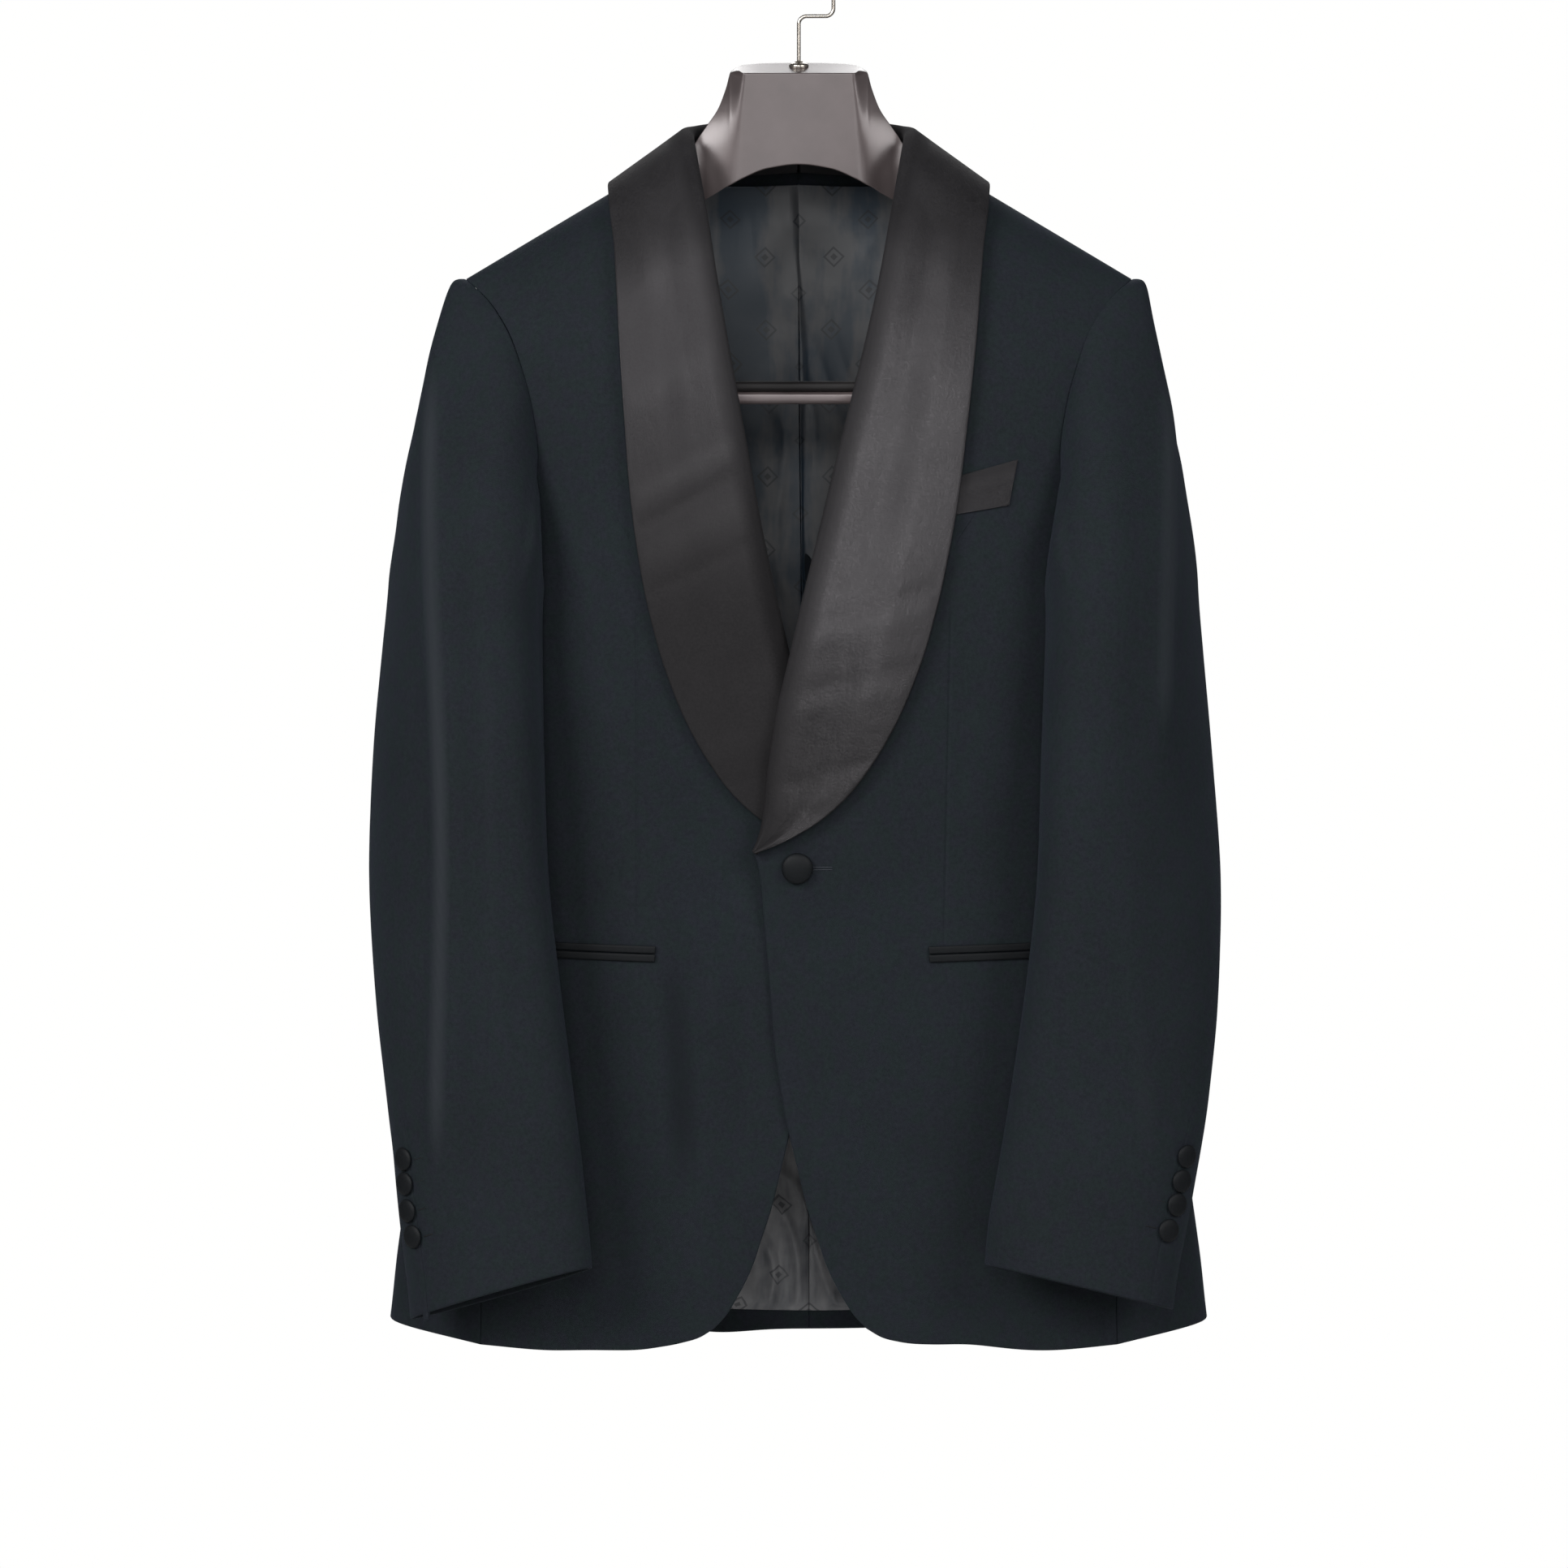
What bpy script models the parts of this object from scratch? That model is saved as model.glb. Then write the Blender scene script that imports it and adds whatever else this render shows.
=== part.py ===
"""A one-button dinner jacket with a shawl collar, hanging closed on a broad shaped hanger.

Frame: the wearer faces -Y, +X is the viewer's right, +Z is up. The origin is the point where the hook
bears on a rail. All tables and shapes are in millimetres, and add_mesh() turns them into metres.
Left and right are the viewer's. A table holds one half of the jacket, with x counted outwards from the
middle, and each half is made from it with side = -1 (left) or +1 (right).
"""
import bpy
import numpy as np
from math import cos, pi, radians, sin, tan
from mathutils import Matrix, Vector

LEFT, RIGHT = -1, 1
SIDE_NAMES = {LEFT: "left", RIGHT: "right"}
MM = 0.001

# ---- cloth -----------------------------------------------------------------------------------------------
CLOTH = 2.3            # wool, canvas and facing together
COLLAR_CLOTH = 2.4
SLEEVE_CLOTH = 2.0
LINING_CLOTH = 1.2
LINING_EASE = 1.5      # the lining hangs this far inside the back
SATIN_TRIM = 1.2
SEAM_GAP = 0.3
CREASE_ANGLE = radians(40)

# ---- the form that the body cloth hangs on -----------------------------------------------------------------
NECK_X, NECK_Z = 80.0, -124.0      # shoulder seam at the neck
TIP_X, TIP_Z = 213.0, -203.0       # shoulder seam at the sleeve
SHOULDER_SLOPE = (NECK_Z - TIP_Z) / (TIP_X - NECK_X)
SHOULDER_ROUND = 150.0             # drop over which the body swells to its full depth
SHOULDER_FORWARD = 25.0            # how far the shoulder tip is set forward of the neck
FORWARD_LOST, FORWARD_RUN = 0.6, 200.0   # share of that lost over this drop below the shoulder
BODY_CORNER = 3.0                  # squareness of a level section through the body
HEM_Z = -883.0                     # hem at the two side seams of the front
# height, half width, depth forward and depth behind
BODY = np.array([
    (-960, 274, 66, 61),
    (-900, 268, 68, 60),
    (-800, 255, 71, 58),
    (-700, 240, 75, 56),
    (-576, 222, 80, 58),
    (-470, 214, 88, 70),
    (-388, 212, 91, 75),
    (-300, 216, 90, 76),
    (-203, 224, 86, 74),
    (-60, 230, 84, 72),
], dtype=float)

# ---- the cut edges: height, distance from the middle ---------------------------------------------------------
FRONT_EDGE = np.array([            # neck, then hidden inside the roll of the lapel, then the open front edge
    (-875, 49), (-867, 41.5), (-855, 34), (-835, 24), (-817, 18), (-802, 13), (-770, 5), (-749, 0),
    (-696, -9), (-644, -14.5), (-604, -18), (-566, -21), (-552, -15.5), (-513, -9.8), (-461, -1),
    (-435, 5.3), (-404, 12.2), (-365, 21.2), (-317, 31.3), (-268, 41.8), (-209, 54.5), (-168, 62.5),
    (-155, 66.5), (-147, 70.2), (-139, 74), (-131, 77.3), (-124, 80),
], dtype=float)
FRONT_SIDE = np.array([            # side seam of the front, then its armhole
    (-883, 205), (-800, 202), (-700, 194), (-576, 187), (-470, 187), (-420, 188), (-372, 188),
    (-360, 181), (-340, 173), (-315, 169.5), (-290, 172), (-259, 179), (-230, 190), (-215, 200),
    (-208, 207), (-203, 213),
], dtype=float)
BACK_SIDE = np.array([             # side seam of the back, then its armhole
    (-883, 190), (-800, 186), (-700, 178), (-576, 172), (-470, 180), (-420, 186), (-372, 192),
    (-350, 188), (-320, 186), (-290, 188), (-259, 193), (-230, 200), (-215, 205), (-208, 208), (-203, 213),
], dtype=float)
FRONT_HEM = np.array([             # distance from the middle, height
    (49, -875), (58, -880.5), (70, -884), (90, -887), (150, -889), (205, HEM_Z),
], dtype=float)
BACK_TOP = np.array([              # neck of the back from the centre seam, then the shoulder seam
    (0, -132), (30, -131.8), (54, -130.7), (69, -128.5), (76.5, -126.2), (NECK_X, NECK_Z), (TIP_X, TIP_Z),
], dtype=float)
BACK_CENTRE_HEM = -895.5
UNDERARM_Z, UNDERARM_DIP = -372.0, 16.0
SIDE_HEM_BOW = 3.5
LINING_INSET, LINING_DROP, LINING_HEM = 8.0, 10.5, 12.5   # the lining ends this far inside side, top and hem
EDGE_POWER = 12                    # how closely its drop and rise keep to the top and the hem

# Rows of a panel as fractions of its height: close where the shoulder turns over and at the lapel's foot.
SHOULDER_ROWS = 1.5 / 680.0 * np.arange(7) ** 2
ARMHOLE_ROWS = (203.0 + np.array([-283.0, -309.0, -333.0, -354.0, UNDERARM_Z])) / -680.0
LOWER_ROWS = np.array([0.31, 0.375, 0.44, 0.50, 0.5699, 0.5885, 0.64, 0.70, 0.76, 0.82, 0.88, 0.94, 1.0])
ROWS = np.concatenate([SHOULDER_ROWS, ARMHOLE_ROWS, LOWER_ROWS])
ARMHOLE_ROW = len(SHOULDER_ROWS) + len(ARMHOLE_ROWS) - 1
LINING_ROWS = ROWS[[0, 3, 5, 6, 8, 11, 13, 15, 17, 18, 20, 22, 24]]
FRONT_COLUMNS = 9
BACK_COLUMNS = 9
SIDE_COLUMNS = 6

# ---- how the two fronts lie on each other --------------------------------------------------------------------
FRONT_SWAY = -6.0                  # the closed fronts hang a little to the left
BACK_DRIFT = 7.0                   # and the centre seam of the back a little to the right
SWAY_END = 165.0                   # both are gone this far from the middle
SWAY_TOP, SWAY_RUN, DRIFT_RUN = -150.0, 270.0, 740.0   # both start at this height and are whole after a drop
LAP_RISE = {LEFT: -3.3, RIGHT: 6.2}
# height, share of the rise
LAP = np.array([(-960, 0), (-880, 0), (-830, 0.05), (-790, 0.2), (-740, 0.44), (-680, 0.46), (-625, 0.48),
                (-572, 1.0), (-500, 1.0), (-418, 1.0), (-370, 0.4), (-320, 0), (-200, 0), (-60, 0)], dtype=float)
LAP_FLAT, LAP_END = 38.0, 112.0    # the rise is whole this far from the middle, and gone here

# ---- shawl collar: fold, outer edge and inner root of its doubled strip, from the back of the neck -------------
FOLD_LIFT = -1.0
LAPEL_LIFT = 2.2
LAPEL_EDGE_RISE = 1.0              # the lapel's edge stands off this much more, above the lap of the fronts
EDGE_RISE_FOOT, EDGE_RISE_RUN = -440.0, 70.0
EDGE_SHARE = 0.35                  # share of the leaf that still lies flat, and in which the rise comes
ROOT_LIFT = -4.4
NECK_FOLD, LAPEL_FOLD = 4.4, 3.2   # radius of the fold at its middle
LAPEL_RETURN = 14.0
# fold x, y, z; edge x, y, z; root x, y, z; share in which the fold lies on the body
STAND = np.array([
    (0, 50, -98, 0, 64, -144, 0, 47, -139, 0),
    (26, 47.5, -98.5, 38, 60, -146, 27, 45, -138.5, 0),
    (48, 36, -100, 74, 46, -150, 52, 36, -137, 0),
    (63, 16, -103, 104, 24, -153, 72, 18, -134, 0),
    (68.5, -4, -106, 119, -6, -147.5, 84, -3, -131, 0),
    (67.5, -22, -112, 119.5, -30, -152.5, 81, -24, -136, 0),
    (65, -42, -126, 118.8, -50, -166, 76, -44, -147, 0.2),
    (61.5, -58, -145, 117, -64, -182, 73, -58, -160, 0.8),
], dtype=float)
# height on the fold, height on the outer edge
LAPEL = np.array([
    (-168, -204), (-198, -232), (-233, -262), (-272, -296), (-315, -332), (-358, -369), (-402, -410),
    (-442, -449), (-472, -482), (-499, -510), (-521, -530), (-538, -544), (-548, -551.5), (-554, -556.5),
], dtype=float)
# height, distance of the fold from the middle
ROLL_LINE = np.array([(-562, -21), (-513, -14.3), (-461, -5.6), (-435, 0.8), (-404, 7.7), (-365, 16.7),
                      (-317, 26.8), (-268, 37.3), (-209.5, 49.5), (-150, 60.1), (-124, 65)], dtype=float)
# height, distance of the lapel's outer edge from the middle
LAPEL_EDGE = np.array([(-562, -21), (-556, -6.6), (-550, 5), (-544, 16), (-536, 28), (-529, 35), (-519, 44),
                       (-503, 55), (-477, 69), (-446, 81), (-404, 92.4), (-363, 100), (-330, 104.5),
                       (-281, 109), (-230, 113), (-179, 116.2), (-147, 119)], dtype=float)
COLLAR_STATIONS = 29
FOLD_STEPS, LEG_STEPS = 4, 7
ROOT_SHARE = 0.38                  # share of the inner leg that lies inside the body cloth

# ---- sleeves ---------------------------------------------------------------------------------------------
SLEEVE_CLEAR = 4.0                 # the sleeve hangs this far off the body
SLEEVE_SET = 0.4                   # and starts this far from the armhole's edge
SLEEVE_TOP, SLEEVE_FOOT = -400.0, -843.0
RING_STEP = 10.0                   # drop over which the arm's direction is read at its top
CUFF_TILT = radians(15.5)
TILT_TOP, TILT_RUN = -550.0, 250.0
CAP_ROWS, ARM_ROWS = 6, 11
CAP_LEAVE, CAP_FALL = 0.32, 1.15   # how strongly the cap leaves the armhole and falls into the arm
CAP_OUT = (0.0, 0.12)              # above the cap's own height it leaves straight out, with this y and z
CAP_OUT_FOOT, CAP_OUT_RUN = -275.0, 60.0
CLEAR_ROWS = 4.2                   # rows of the cap in which the clearance grows
ARMHOLE_MIDDLE = (-8.0, -295.0)
ARMHOLE_HALF = (60.0, 92.0)
# height, centre out, centre y, half thickness, half breadth, turn on the left, turn on the right (degrees)
SLEEVE = np.array([
    (-880, 184.0, -103, 23.5, 60.5, 76, 90),
    (-843, 186.0, -101, 24.0, 60.4, 76, 89),
    (-800, 190.6, -98, 25.5, 61.3, 75, 86),
    (-720, 200.7, -92, 29.0, 62.5, 70, 78),
    (-655, 208.4, -86, 33.0, 64.5, 64, 69),
    (-590, 213.4, -78, 38.0, 67.0, 54, 57),
    (-500, 212.4, -68, 42.0, 69.0, 40, 41),
    (-400, 209.6, -56, 43.5, 69.0, 26, 26),
    (-300, 205.0, -46, 44.0, 69.0, 15, 15),
], dtype=float)
SLEEVE_SWAY = np.array([(-880, -4.8), (-800, -4.2), (-720, -2.9), (-400, -2.9), (-300, -1), (-203, 0)], float)
# angle round the armhole from its top, angle round the sleeve (degrees)
ROUND_ARM = np.array([(0, 0), (90, 85), (180, 200), (270, 278), (360, 360)], dtype=float)
FRONT_SEAM, BACK_SEAM = 140.0, 278.0
BUTTON_LINE = 306.0

# ---- pockets and buttons -----------------------------------------------------------------------------------
POCKET_INNER, POCKET_TOP, POCKET_LENGTH, POCKET_RISE = 87.0, -626.5, 150.0, 0.03
JET_HEIGHT, JET_PARTING, JET_CLOTH, JET_GAP = 4.9, 0.5, 1.5, 0.45
WELT_CORNERS = [(84.0, -330.2), (138.6, -315.4), (133.0, -344.7), (79.0, -353.6)]
WELT_COLUMNS = 5
FRONT_BUTTON = (0.0, -576.7)
FRONT_BUTTON_R, CUFF_BUTTON_R = 10.0, 7.5
BUTTON_HEIGHT = 0.46               # of its radius
# share of the radius, share of the height
BUTTON_PROFILE = [(0.0, 1.0), (0.45, 0.95), (0.82, 0.72), (1.0, 0.36), (0.93, 0.08), (0.8, 0.0), (0.0, 0.0)]
CUFF_BUTTONS = [-760.0, -776.5, -792.5, -809.0]
CUFF_BUTTON_STAND = 0.25           # the turn of the sleeve comes this far up under a button

# ---- hanger ------------------------------------------------------------------------------------------------
WIRE_R, HOOK_R, HOOK_BEND, HOOK_SWEEP = 1.65, 22.6, 5.0, 182
JOG_Z, STEM_FOOT = -35.4, -59.7
# x, top, bottom, depth forward, depth behind
HANGER = np.array([
    (0, -65, -130, 14, 12), (20, -65.3, -132.6, 14, 11.5), (36, -66.5, -139, 13.5, 9), (43.5, -70.5, -143, 11.5, 8),
    (46, -83, -144.5, 10.5, 8), (51.8, -94.5, -147.8, 11, 8), (59.5, -106, -152.3, 12.5, 7),
    (67.3, -117.5, -156.5, 15, 7), (74, -130.5, -159.5, 17, 10), (86, -139.5, -164, 20, 16),
    (104, -142.2, -172, 22.5, 22.5), (130, -157.2, -187, 24, 24), (160, -175, -204, 25, 25),
    (180, -187, -213, 23, 23), (189, -194, -213, 17, 17), (193, -199, -210, 9, 9),
], dtype=float)
HANGER_SIDES = 14
HANGER_ROUNDNESS = 0.75            # 1 is an ellipse, less is squarer
ARM_START, ARM_GAP = 96.0, 0.6     # past here the arms take the shoulders' own shape, this far inside the cloth
LINED_BEHIND, LINED_END = (4.0, 10.0), (160.0, 12.0)   # start and run of where the lining lies over the arm
BAR_TOP, BAR_MIDDLE, BAR_FOOT = -269.0, -275.4, -283.4
BAR_HALF, BAR_DEPTH, BAR_Y = 155.7, 15.0, -13.0
GRIP_SHORT = 5.0                   # the grip strip ends this far inside the bar's ends
POST_X, POST_WIDTH, POST_DEPTH = 160.0, 8.0, 14.0
POST_HEAD_X = 162.5                # the post reaches the height of the arm's underside here
BAR_ROUND, GRIP_ROUND, POST_ROUND, FERRULE_ROUND = 2.5, 2.4, 1.5, 0.8
FERRULE_R = 5.0


# ---- reading tables ----------------------------------------------------------------------------------------
def smooth(x, table, column=1):
    """A column of a table between its rows: a cubic through the rows with their mean slopes."""
    rows = table[np.argsort(table[:, 0])]
    xs, ys = rows[:, 0], rows[:, column]
    slopes = np.gradient(ys, xs)
    x = np.clip(x, xs[0], xs[-1])
    i = np.clip(np.searchsorted(xs, x) - 1, 0, len(xs) - 2)
    h = xs[i + 1] - xs[i]
    t = (x - xs[i]) / h
    rise = (2 * t ** 3 - 3 * t ** 2 + 1) * ys[i] + (3 * t ** 2 - 2 * t ** 3) * ys[i + 1]
    return rise + h * ((t ** 3 - 2 * t ** 2 + t) * slopes[i] + (t ** 3 - t ** 2) * slopes[i + 1])


def straight(x, table, column=1):
    """A column of a table between its rows, in straight lines."""
    rows = table[np.argsort(table[:, 0])]
    return np.interp(x, rows[:, 0], rows[:, column])


def ease(t):
    """0 to 1 with level ends."""
    t = np.clip(t, 0.0, 1.0)
    return t * t * (3.0 - 2.0 * t)


def unit(v):
    """Vectors brought to length 1."""
    return v / np.linalg.norm(v, axis=-1, keepdims=True)


# ---- the body form -----------------------------------------------------------------------------------------
def shoulder_z(x):
    """Height of the shoulder line."""
    return NECK_Z - (np.abs(x) - NECK_X) * SHOULDER_SLOPE


def fullness(x, z):
    """0 on the shoulder line, 1 where the body has its full depth, and below 0 above the line."""
    t = (shoulder_z(x) - z) / SHOULDER_ROUND
    return np.where(t > 0, 2 * np.minimum(t, 1) - np.minimum(t, 1) ** 2, 2 * t)


def middle_y(x, z):
    """The body's mid plane, which the shoulders draw forward."""
    kept = 1.0 - FORWARD_LOST * ease((shoulder_z(x) - z) / FORWARD_RUN)
    return -SHOULDER_FORWARD * (x / TIP_X) ** 2 * kept


def body_y(x, z, face):
    """Depth of the body's front (face = -1) or back (+1) at x, z."""
    depth = smooth(z, BODY, 2 if face < 0 else 3)
    rest = np.clip(1.0 - (np.abs(x) / smooth(z, BODY, 1)) ** BODY_CORNER, 0, 1)
    return middle_y(x, z) + face * depth * np.sqrt(rest * np.clip(fullness(x, z), 0, 1))


def body_level(p):
    """Below 0 inside the body form, 0 on it and above 0 outside."""
    x, y, z = p[..., 0], p[..., 1], p[..., 2]
    off = y - middle_y(x, z)
    depth = np.where(off < 0, smooth(z, BODY, 2), smooth(z, BODY, 3))
    rest = 1.0 - (np.abs(x) / smooth(z, BODY, 1)) ** BODY_CORNER
    return (off / depth) ** 2 - rest * fullness(x, z)


def body_slope(p):
    """Gradient of body_level, by small steps along each axis."""
    step = 0.05
    axes = np.eye(3) * step
    return np.stack([(body_level(p + a) - body_level(p - a)) / (2 * step) for a in axes], axis=-1)


def body_normal(p):
    """Outward normals of the body form at points."""
    return unit(body_slope(p))


def body_distance(p):
    """How far points are outside the body form, near enough close to it."""
    return body_level(p) / np.linalg.norm(body_slope(p), axis=-1)


def settle(p, lift, only_out=False, only_in=False):
    """Move points to their lift above the body form, or only those below it, or only those above it."""
    for _ in range(8):
        gap = lift - body_distance(p)
        if only_out:
            gap = np.maximum(gap, 0.0)
        if only_in:
            gap = np.minimum(gap, 0.0)
        p = p + body_normal(p) * np.clip(gap, -12, 12)[..., None]
    return p


def lap_rise(side, x, z):
    """How far a front is moved out or in, so that one closes over the other."""
    near = 1.0 - ease((np.abs(x) - LAP_FLAT) / (LAP_END - LAP_FLAT))
    return LAP_RISE[side] * near * smooth(z, LAP)


def sway(x, z):
    """Sideways hang of the closed fronts, none at the armhole and the side seam."""
    return FRONT_SWAY * ease((SWAY_TOP - z) / SWAY_RUN) * np.clip(1.0 - (x / SWAY_END) ** 2, 0, 1)


# Girth: arc length from the centre front to the centre back round a section of middling size.
MIDDLING_HALF, MIDDLING_AHEAD, MIDDLING_BEHIND = 215.0, 85.0, 66.0
GIRTH_ANGLE = np.linspace(0.0, pi, 721)
GIRTH_SECTION = np.stack([
    MIDDLING_HALF * np.sin(GIRTH_ANGLE) ** (2 / BODY_CORNER),
    -np.cos(GIRTH_ANGLE) * np.where(GIRTH_ANGLE < pi / 2, MIDDLING_AHEAD, MIDDLING_BEHIND),
], axis=-1)
GIRTH = np.concatenate([[0.0], np.cumsum(np.linalg.norm(np.diff(GIRTH_SECTION, axis=0), axis=1))])


def girth_at(x, z, face):
    """Girth coordinate of a point of the front or back, from its distance to the middle."""
    angle = np.arcsin(np.clip(np.abs(x) / smooth(z, BODY, 1), 0, 1) ** (BODY_CORNER / 2))
    return np.interp(angle if face < 0 else pi - angle, GIRTH_ANGLE, GIRTH)


def girth_point(side, girth, z):
    """The point of the body form at a girth and height."""
    angle = np.interp(girth, GIRTH, GIRTH_ANGLE)
    x = smooth(z, BODY, 1) * np.sin(angle) ** (2 / BODY_CORNER)
    depth = np.where(angle < pi / 2, smooth(z, BODY, 2), smooth(z, BODY, 3))
    y = middle_y(x, z) - np.cos(angle) * depth * np.sqrt(np.clip(fullness(x, z), 0, 1))
    return np.stack([side * x, y, z + 0 * x], axis=-1)


# ---- meshes ------------------------------------------------------------------------------------------------
def add_mesh(name, points, faces, material):
    """A named object from points in millimetres and faces, in the jacket's collection."""
    mesh = bpy.data.meshes.new(name)
    mesh.from_pydata((np.asarray(points) * MM).tolist(), [], [tuple(map(int, f)) for f in faces])
    mesh.validate()
    mesh.materials.append(material)
    mesh.shade_smooth()
    mesh.set_sharp_from_angle(angle=CREASE_ANGLE)
    obj = bpy.data.objects.new(name, mesh)
    PARTS.objects.link(obj)
    return obj


def wall(name, outer, inner, material):
    """A closed wall between two grids of points. Both follow the form's own normals, so that
    the edges of two panels stay parallel at their seam, which a Solidify on each would not do."""
    rows, columns = outer.shape[:2]
    count = rows * columns
    index = np.arange(count).reshape(rows, columns)
    quads = np.stack([index[:-1, :-1], index[1:, :-1], index[1:, 1:], index[:-1, 1:]], axis=-1).reshape(-1, 4)
    rim = np.concatenate([index[0, :-1], index[:-1, -1], index[-1, :0:-1], index[:0:-1, 0]])
    following = np.roll(rim, -1)
    edge = np.stack([rim, following, following + count, rim + count], axis=-1)
    points = np.concatenate([outer.reshape(-1, 3), inner.reshape(-1, 3)])
    faces = np.concatenate([quads, quads[:, ::-1] + count, edge])
    middle = points.mean(axis=0)
    corner = points[faces] - middle
    half_a = np.einsum("ij,ij->i", corner[:, 0], np.cross(corner[:, 1], corner[:, 2]))
    half_b = np.einsum("ij,ij->i", corner[:, 0], np.cross(corner[:, 2], corner[:, 3]))
    if (half_a + half_b).sum() < 0:
        faces = faces[:, ::-1]
    return add_mesh(name, points, faces, material)


def trim(grid, edges):
    """Draw named edges of a grid back by half a seam gap, each towards its next row."""
    grid = grid.copy()
    pairs = {"top": ((0, slice(None)), (1, slice(None))), "bottom": ((-1, slice(None)), (-2, slice(None))),
             "first": ((slice(None), 0), (slice(None), 1)), "last": ((slice(None), -1), (slice(None), -2))}
    for edge in edges:
        at, near = pairs[edge]
        grid[at] += unit(grid[near] - grid[at]) * SEAM_GAP / 2
    return grid


def panel_wall(name, points, lift, thickness, edges, material):
    """A panel whose outer face is the body form at a lift."""
    normals = body_normal(points)
    outer = points + normals * np.broadcast_to(lift, points.shape[:2])[..., None]
    inner = outer - normals * thickness
    return wall(name, trim(outer, edges), trim(inner, edges), material)


def grid_normals(grid, closed=False):
    """Normals of a grid from its own lines, the first axis closed where asked."""
    along = np.roll(grid, -1, 0) - np.roll(grid, 1, 0) if closed else np.gradient(grid, axis=0)
    return unit(np.cross(along, np.gradient(grid, axis=1)))


def coons(top, bottom, first, last, u, v):
    """Fill four edge curves of a panel: the mean of its two rulings less the twist of its corners."""
    u, v = u[None, :, None], v[:, None, None]
    across = (1 - u) * first[:, None] + u * last[:, None]
    down = (1 - v) * top[None] + v * bottom[None]
    corners = (1 - v) * ((1 - u) * top[0] + u * top[-1]) + v * ((1 - u) * bottom[0] + u * bottom[-1])
    return across + down - corners


# ---- body panels -------------------------------------------------------------------------------------------
def front_points(side):
    """Points of a front on the body form, rows down and columns outwards."""
    u = np.linspace(0, 1, FRONT_COLUMNS + 1)
    first_z = NECK_Z + (FRONT_EDGE[0, 0] - NECK_Z) * ROWS
    last_z = TIP_Z + (HEM_Z - TIP_Z) * ROWS
    first = np.stack([straight(first_z, FRONT_EDGE), first_z], axis=-1)
    last = np.stack([smooth(last_z, FRONT_SIDE), last_z], axis=-1)
    top_x = NECK_X + (TIP_X - NECK_X) * u
    top = np.stack([top_x, shoulder_z(top_x)], axis=-1)
    hem_x = FRONT_HEM[0, 0] + (FRONT_HEM[-1, 0] - FRONT_HEM[0, 0]) * u
    bottom = np.stack([hem_x, smooth(hem_x, FRONT_HEM)], axis=-1)
    plane = coons(top, bottom, first, last, u, ROWS)
    z = plane[..., 1]
    x = side * plane[..., 0]
    x = x + sway(x, z)
    return np.stack([x, body_y(x, z, -1), z], axis=-1)


def back_points(side, lining=False):
    """Points of a back, rows down and columns outwards. The lining is the same cut, drawn in."""
    rows = LINING_ROWS if lining else ROWS
    inset, drop, rise = (LINING_INSET, LINING_DROP, LINING_HEM) if lining else (0.0, 0.0, 0.0)
    neck = BACK_TOP[:-1, 0] / TIP_X
    u = np.concatenate([neck, np.linspace(neck[-1], 1, BACK_COLUMNS - len(neck) + 2)[1:]])
    side_z = TIP_Z + (HEM_Z - TIP_Z) * rows
    centre_z = BACK_TOP[0, 1] + (BACK_CENTRE_HEM - BACK_TOP[0, 1]) * rows
    last = np.stack([smooth(side_z, BACK_SIDE) - inset, side_z], axis=-1)
    first = np.stack([np.zeros(len(rows)), centre_z], axis=-1)
    top_x = u * (TIP_X - inset)
    top = np.stack([top_x, np.interp(top_x, BACK_TOP[:, 0], BACK_TOP[:, 1])], axis=-1)
    hem_x = u * (BACK_SIDE[0, 1] - inset)
    bottom = np.stack([hem_x, BACK_CENTRE_HEM + (HEM_Z - BACK_CENTRE_HEM) * (hem_x / BACK_SIDE[0, 1]) ** 2], -1)
    plane = coons(top, bottom, first, last, u, rows)
    fraction = rows[:, None]
    z = plane[..., 1] - drop * (1 - fraction) ** EDGE_POWER + rise * fraction ** EDGE_POWER
    x = side * plane[..., 0]
    x = x + BACK_DRIFT * ease((SWAY_TOP - z) / DRIFT_RUN) * np.clip(1.0 - (x / SWAY_END) ** 2, 0, 1)
    return np.stack([x, body_y(x, z, 1), z], axis=-1)


def side_points(side):
    """Points of a side body between the front's and the back's side seams, rows down, columns to the back."""
    seam_rows = ROWS[ARMHOLE_ROW:]
    z = (TIP_Z + (HEM_Z - TIP_Z) * seam_rows)[:, None]
    start = girth_at(smooth(z, FRONT_SIDE), z, -1)
    end = girth_at(smooth(z, BACK_SIDE), z, 1)
    u = np.linspace(0, 1, SIDE_COLUMNS + 1)[None, :]
    girth = start + (end - start) * u
    down = (z - UNDERARM_Z) / (HEM_Z - UNDERARM_Z)
    bow = 4 * u * (1 - u)
    return girth_point(side, girth, z - UNDERARM_DIP * bow * (1 - down) + SIDE_HEM_BOW * bow * down)


def armhole(side):
    """The armhole as a closed run of points: tip, down the front, under the arm and up the back."""
    front = front_points(side)[:ARMHOLE_ROW + 1, -1]
    under = side_points(side)[0, 1:-1]
    back = back_points(side)[ARMHOLE_ROW:0:-1, -1]
    return np.concatenate([front, under, back])


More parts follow.
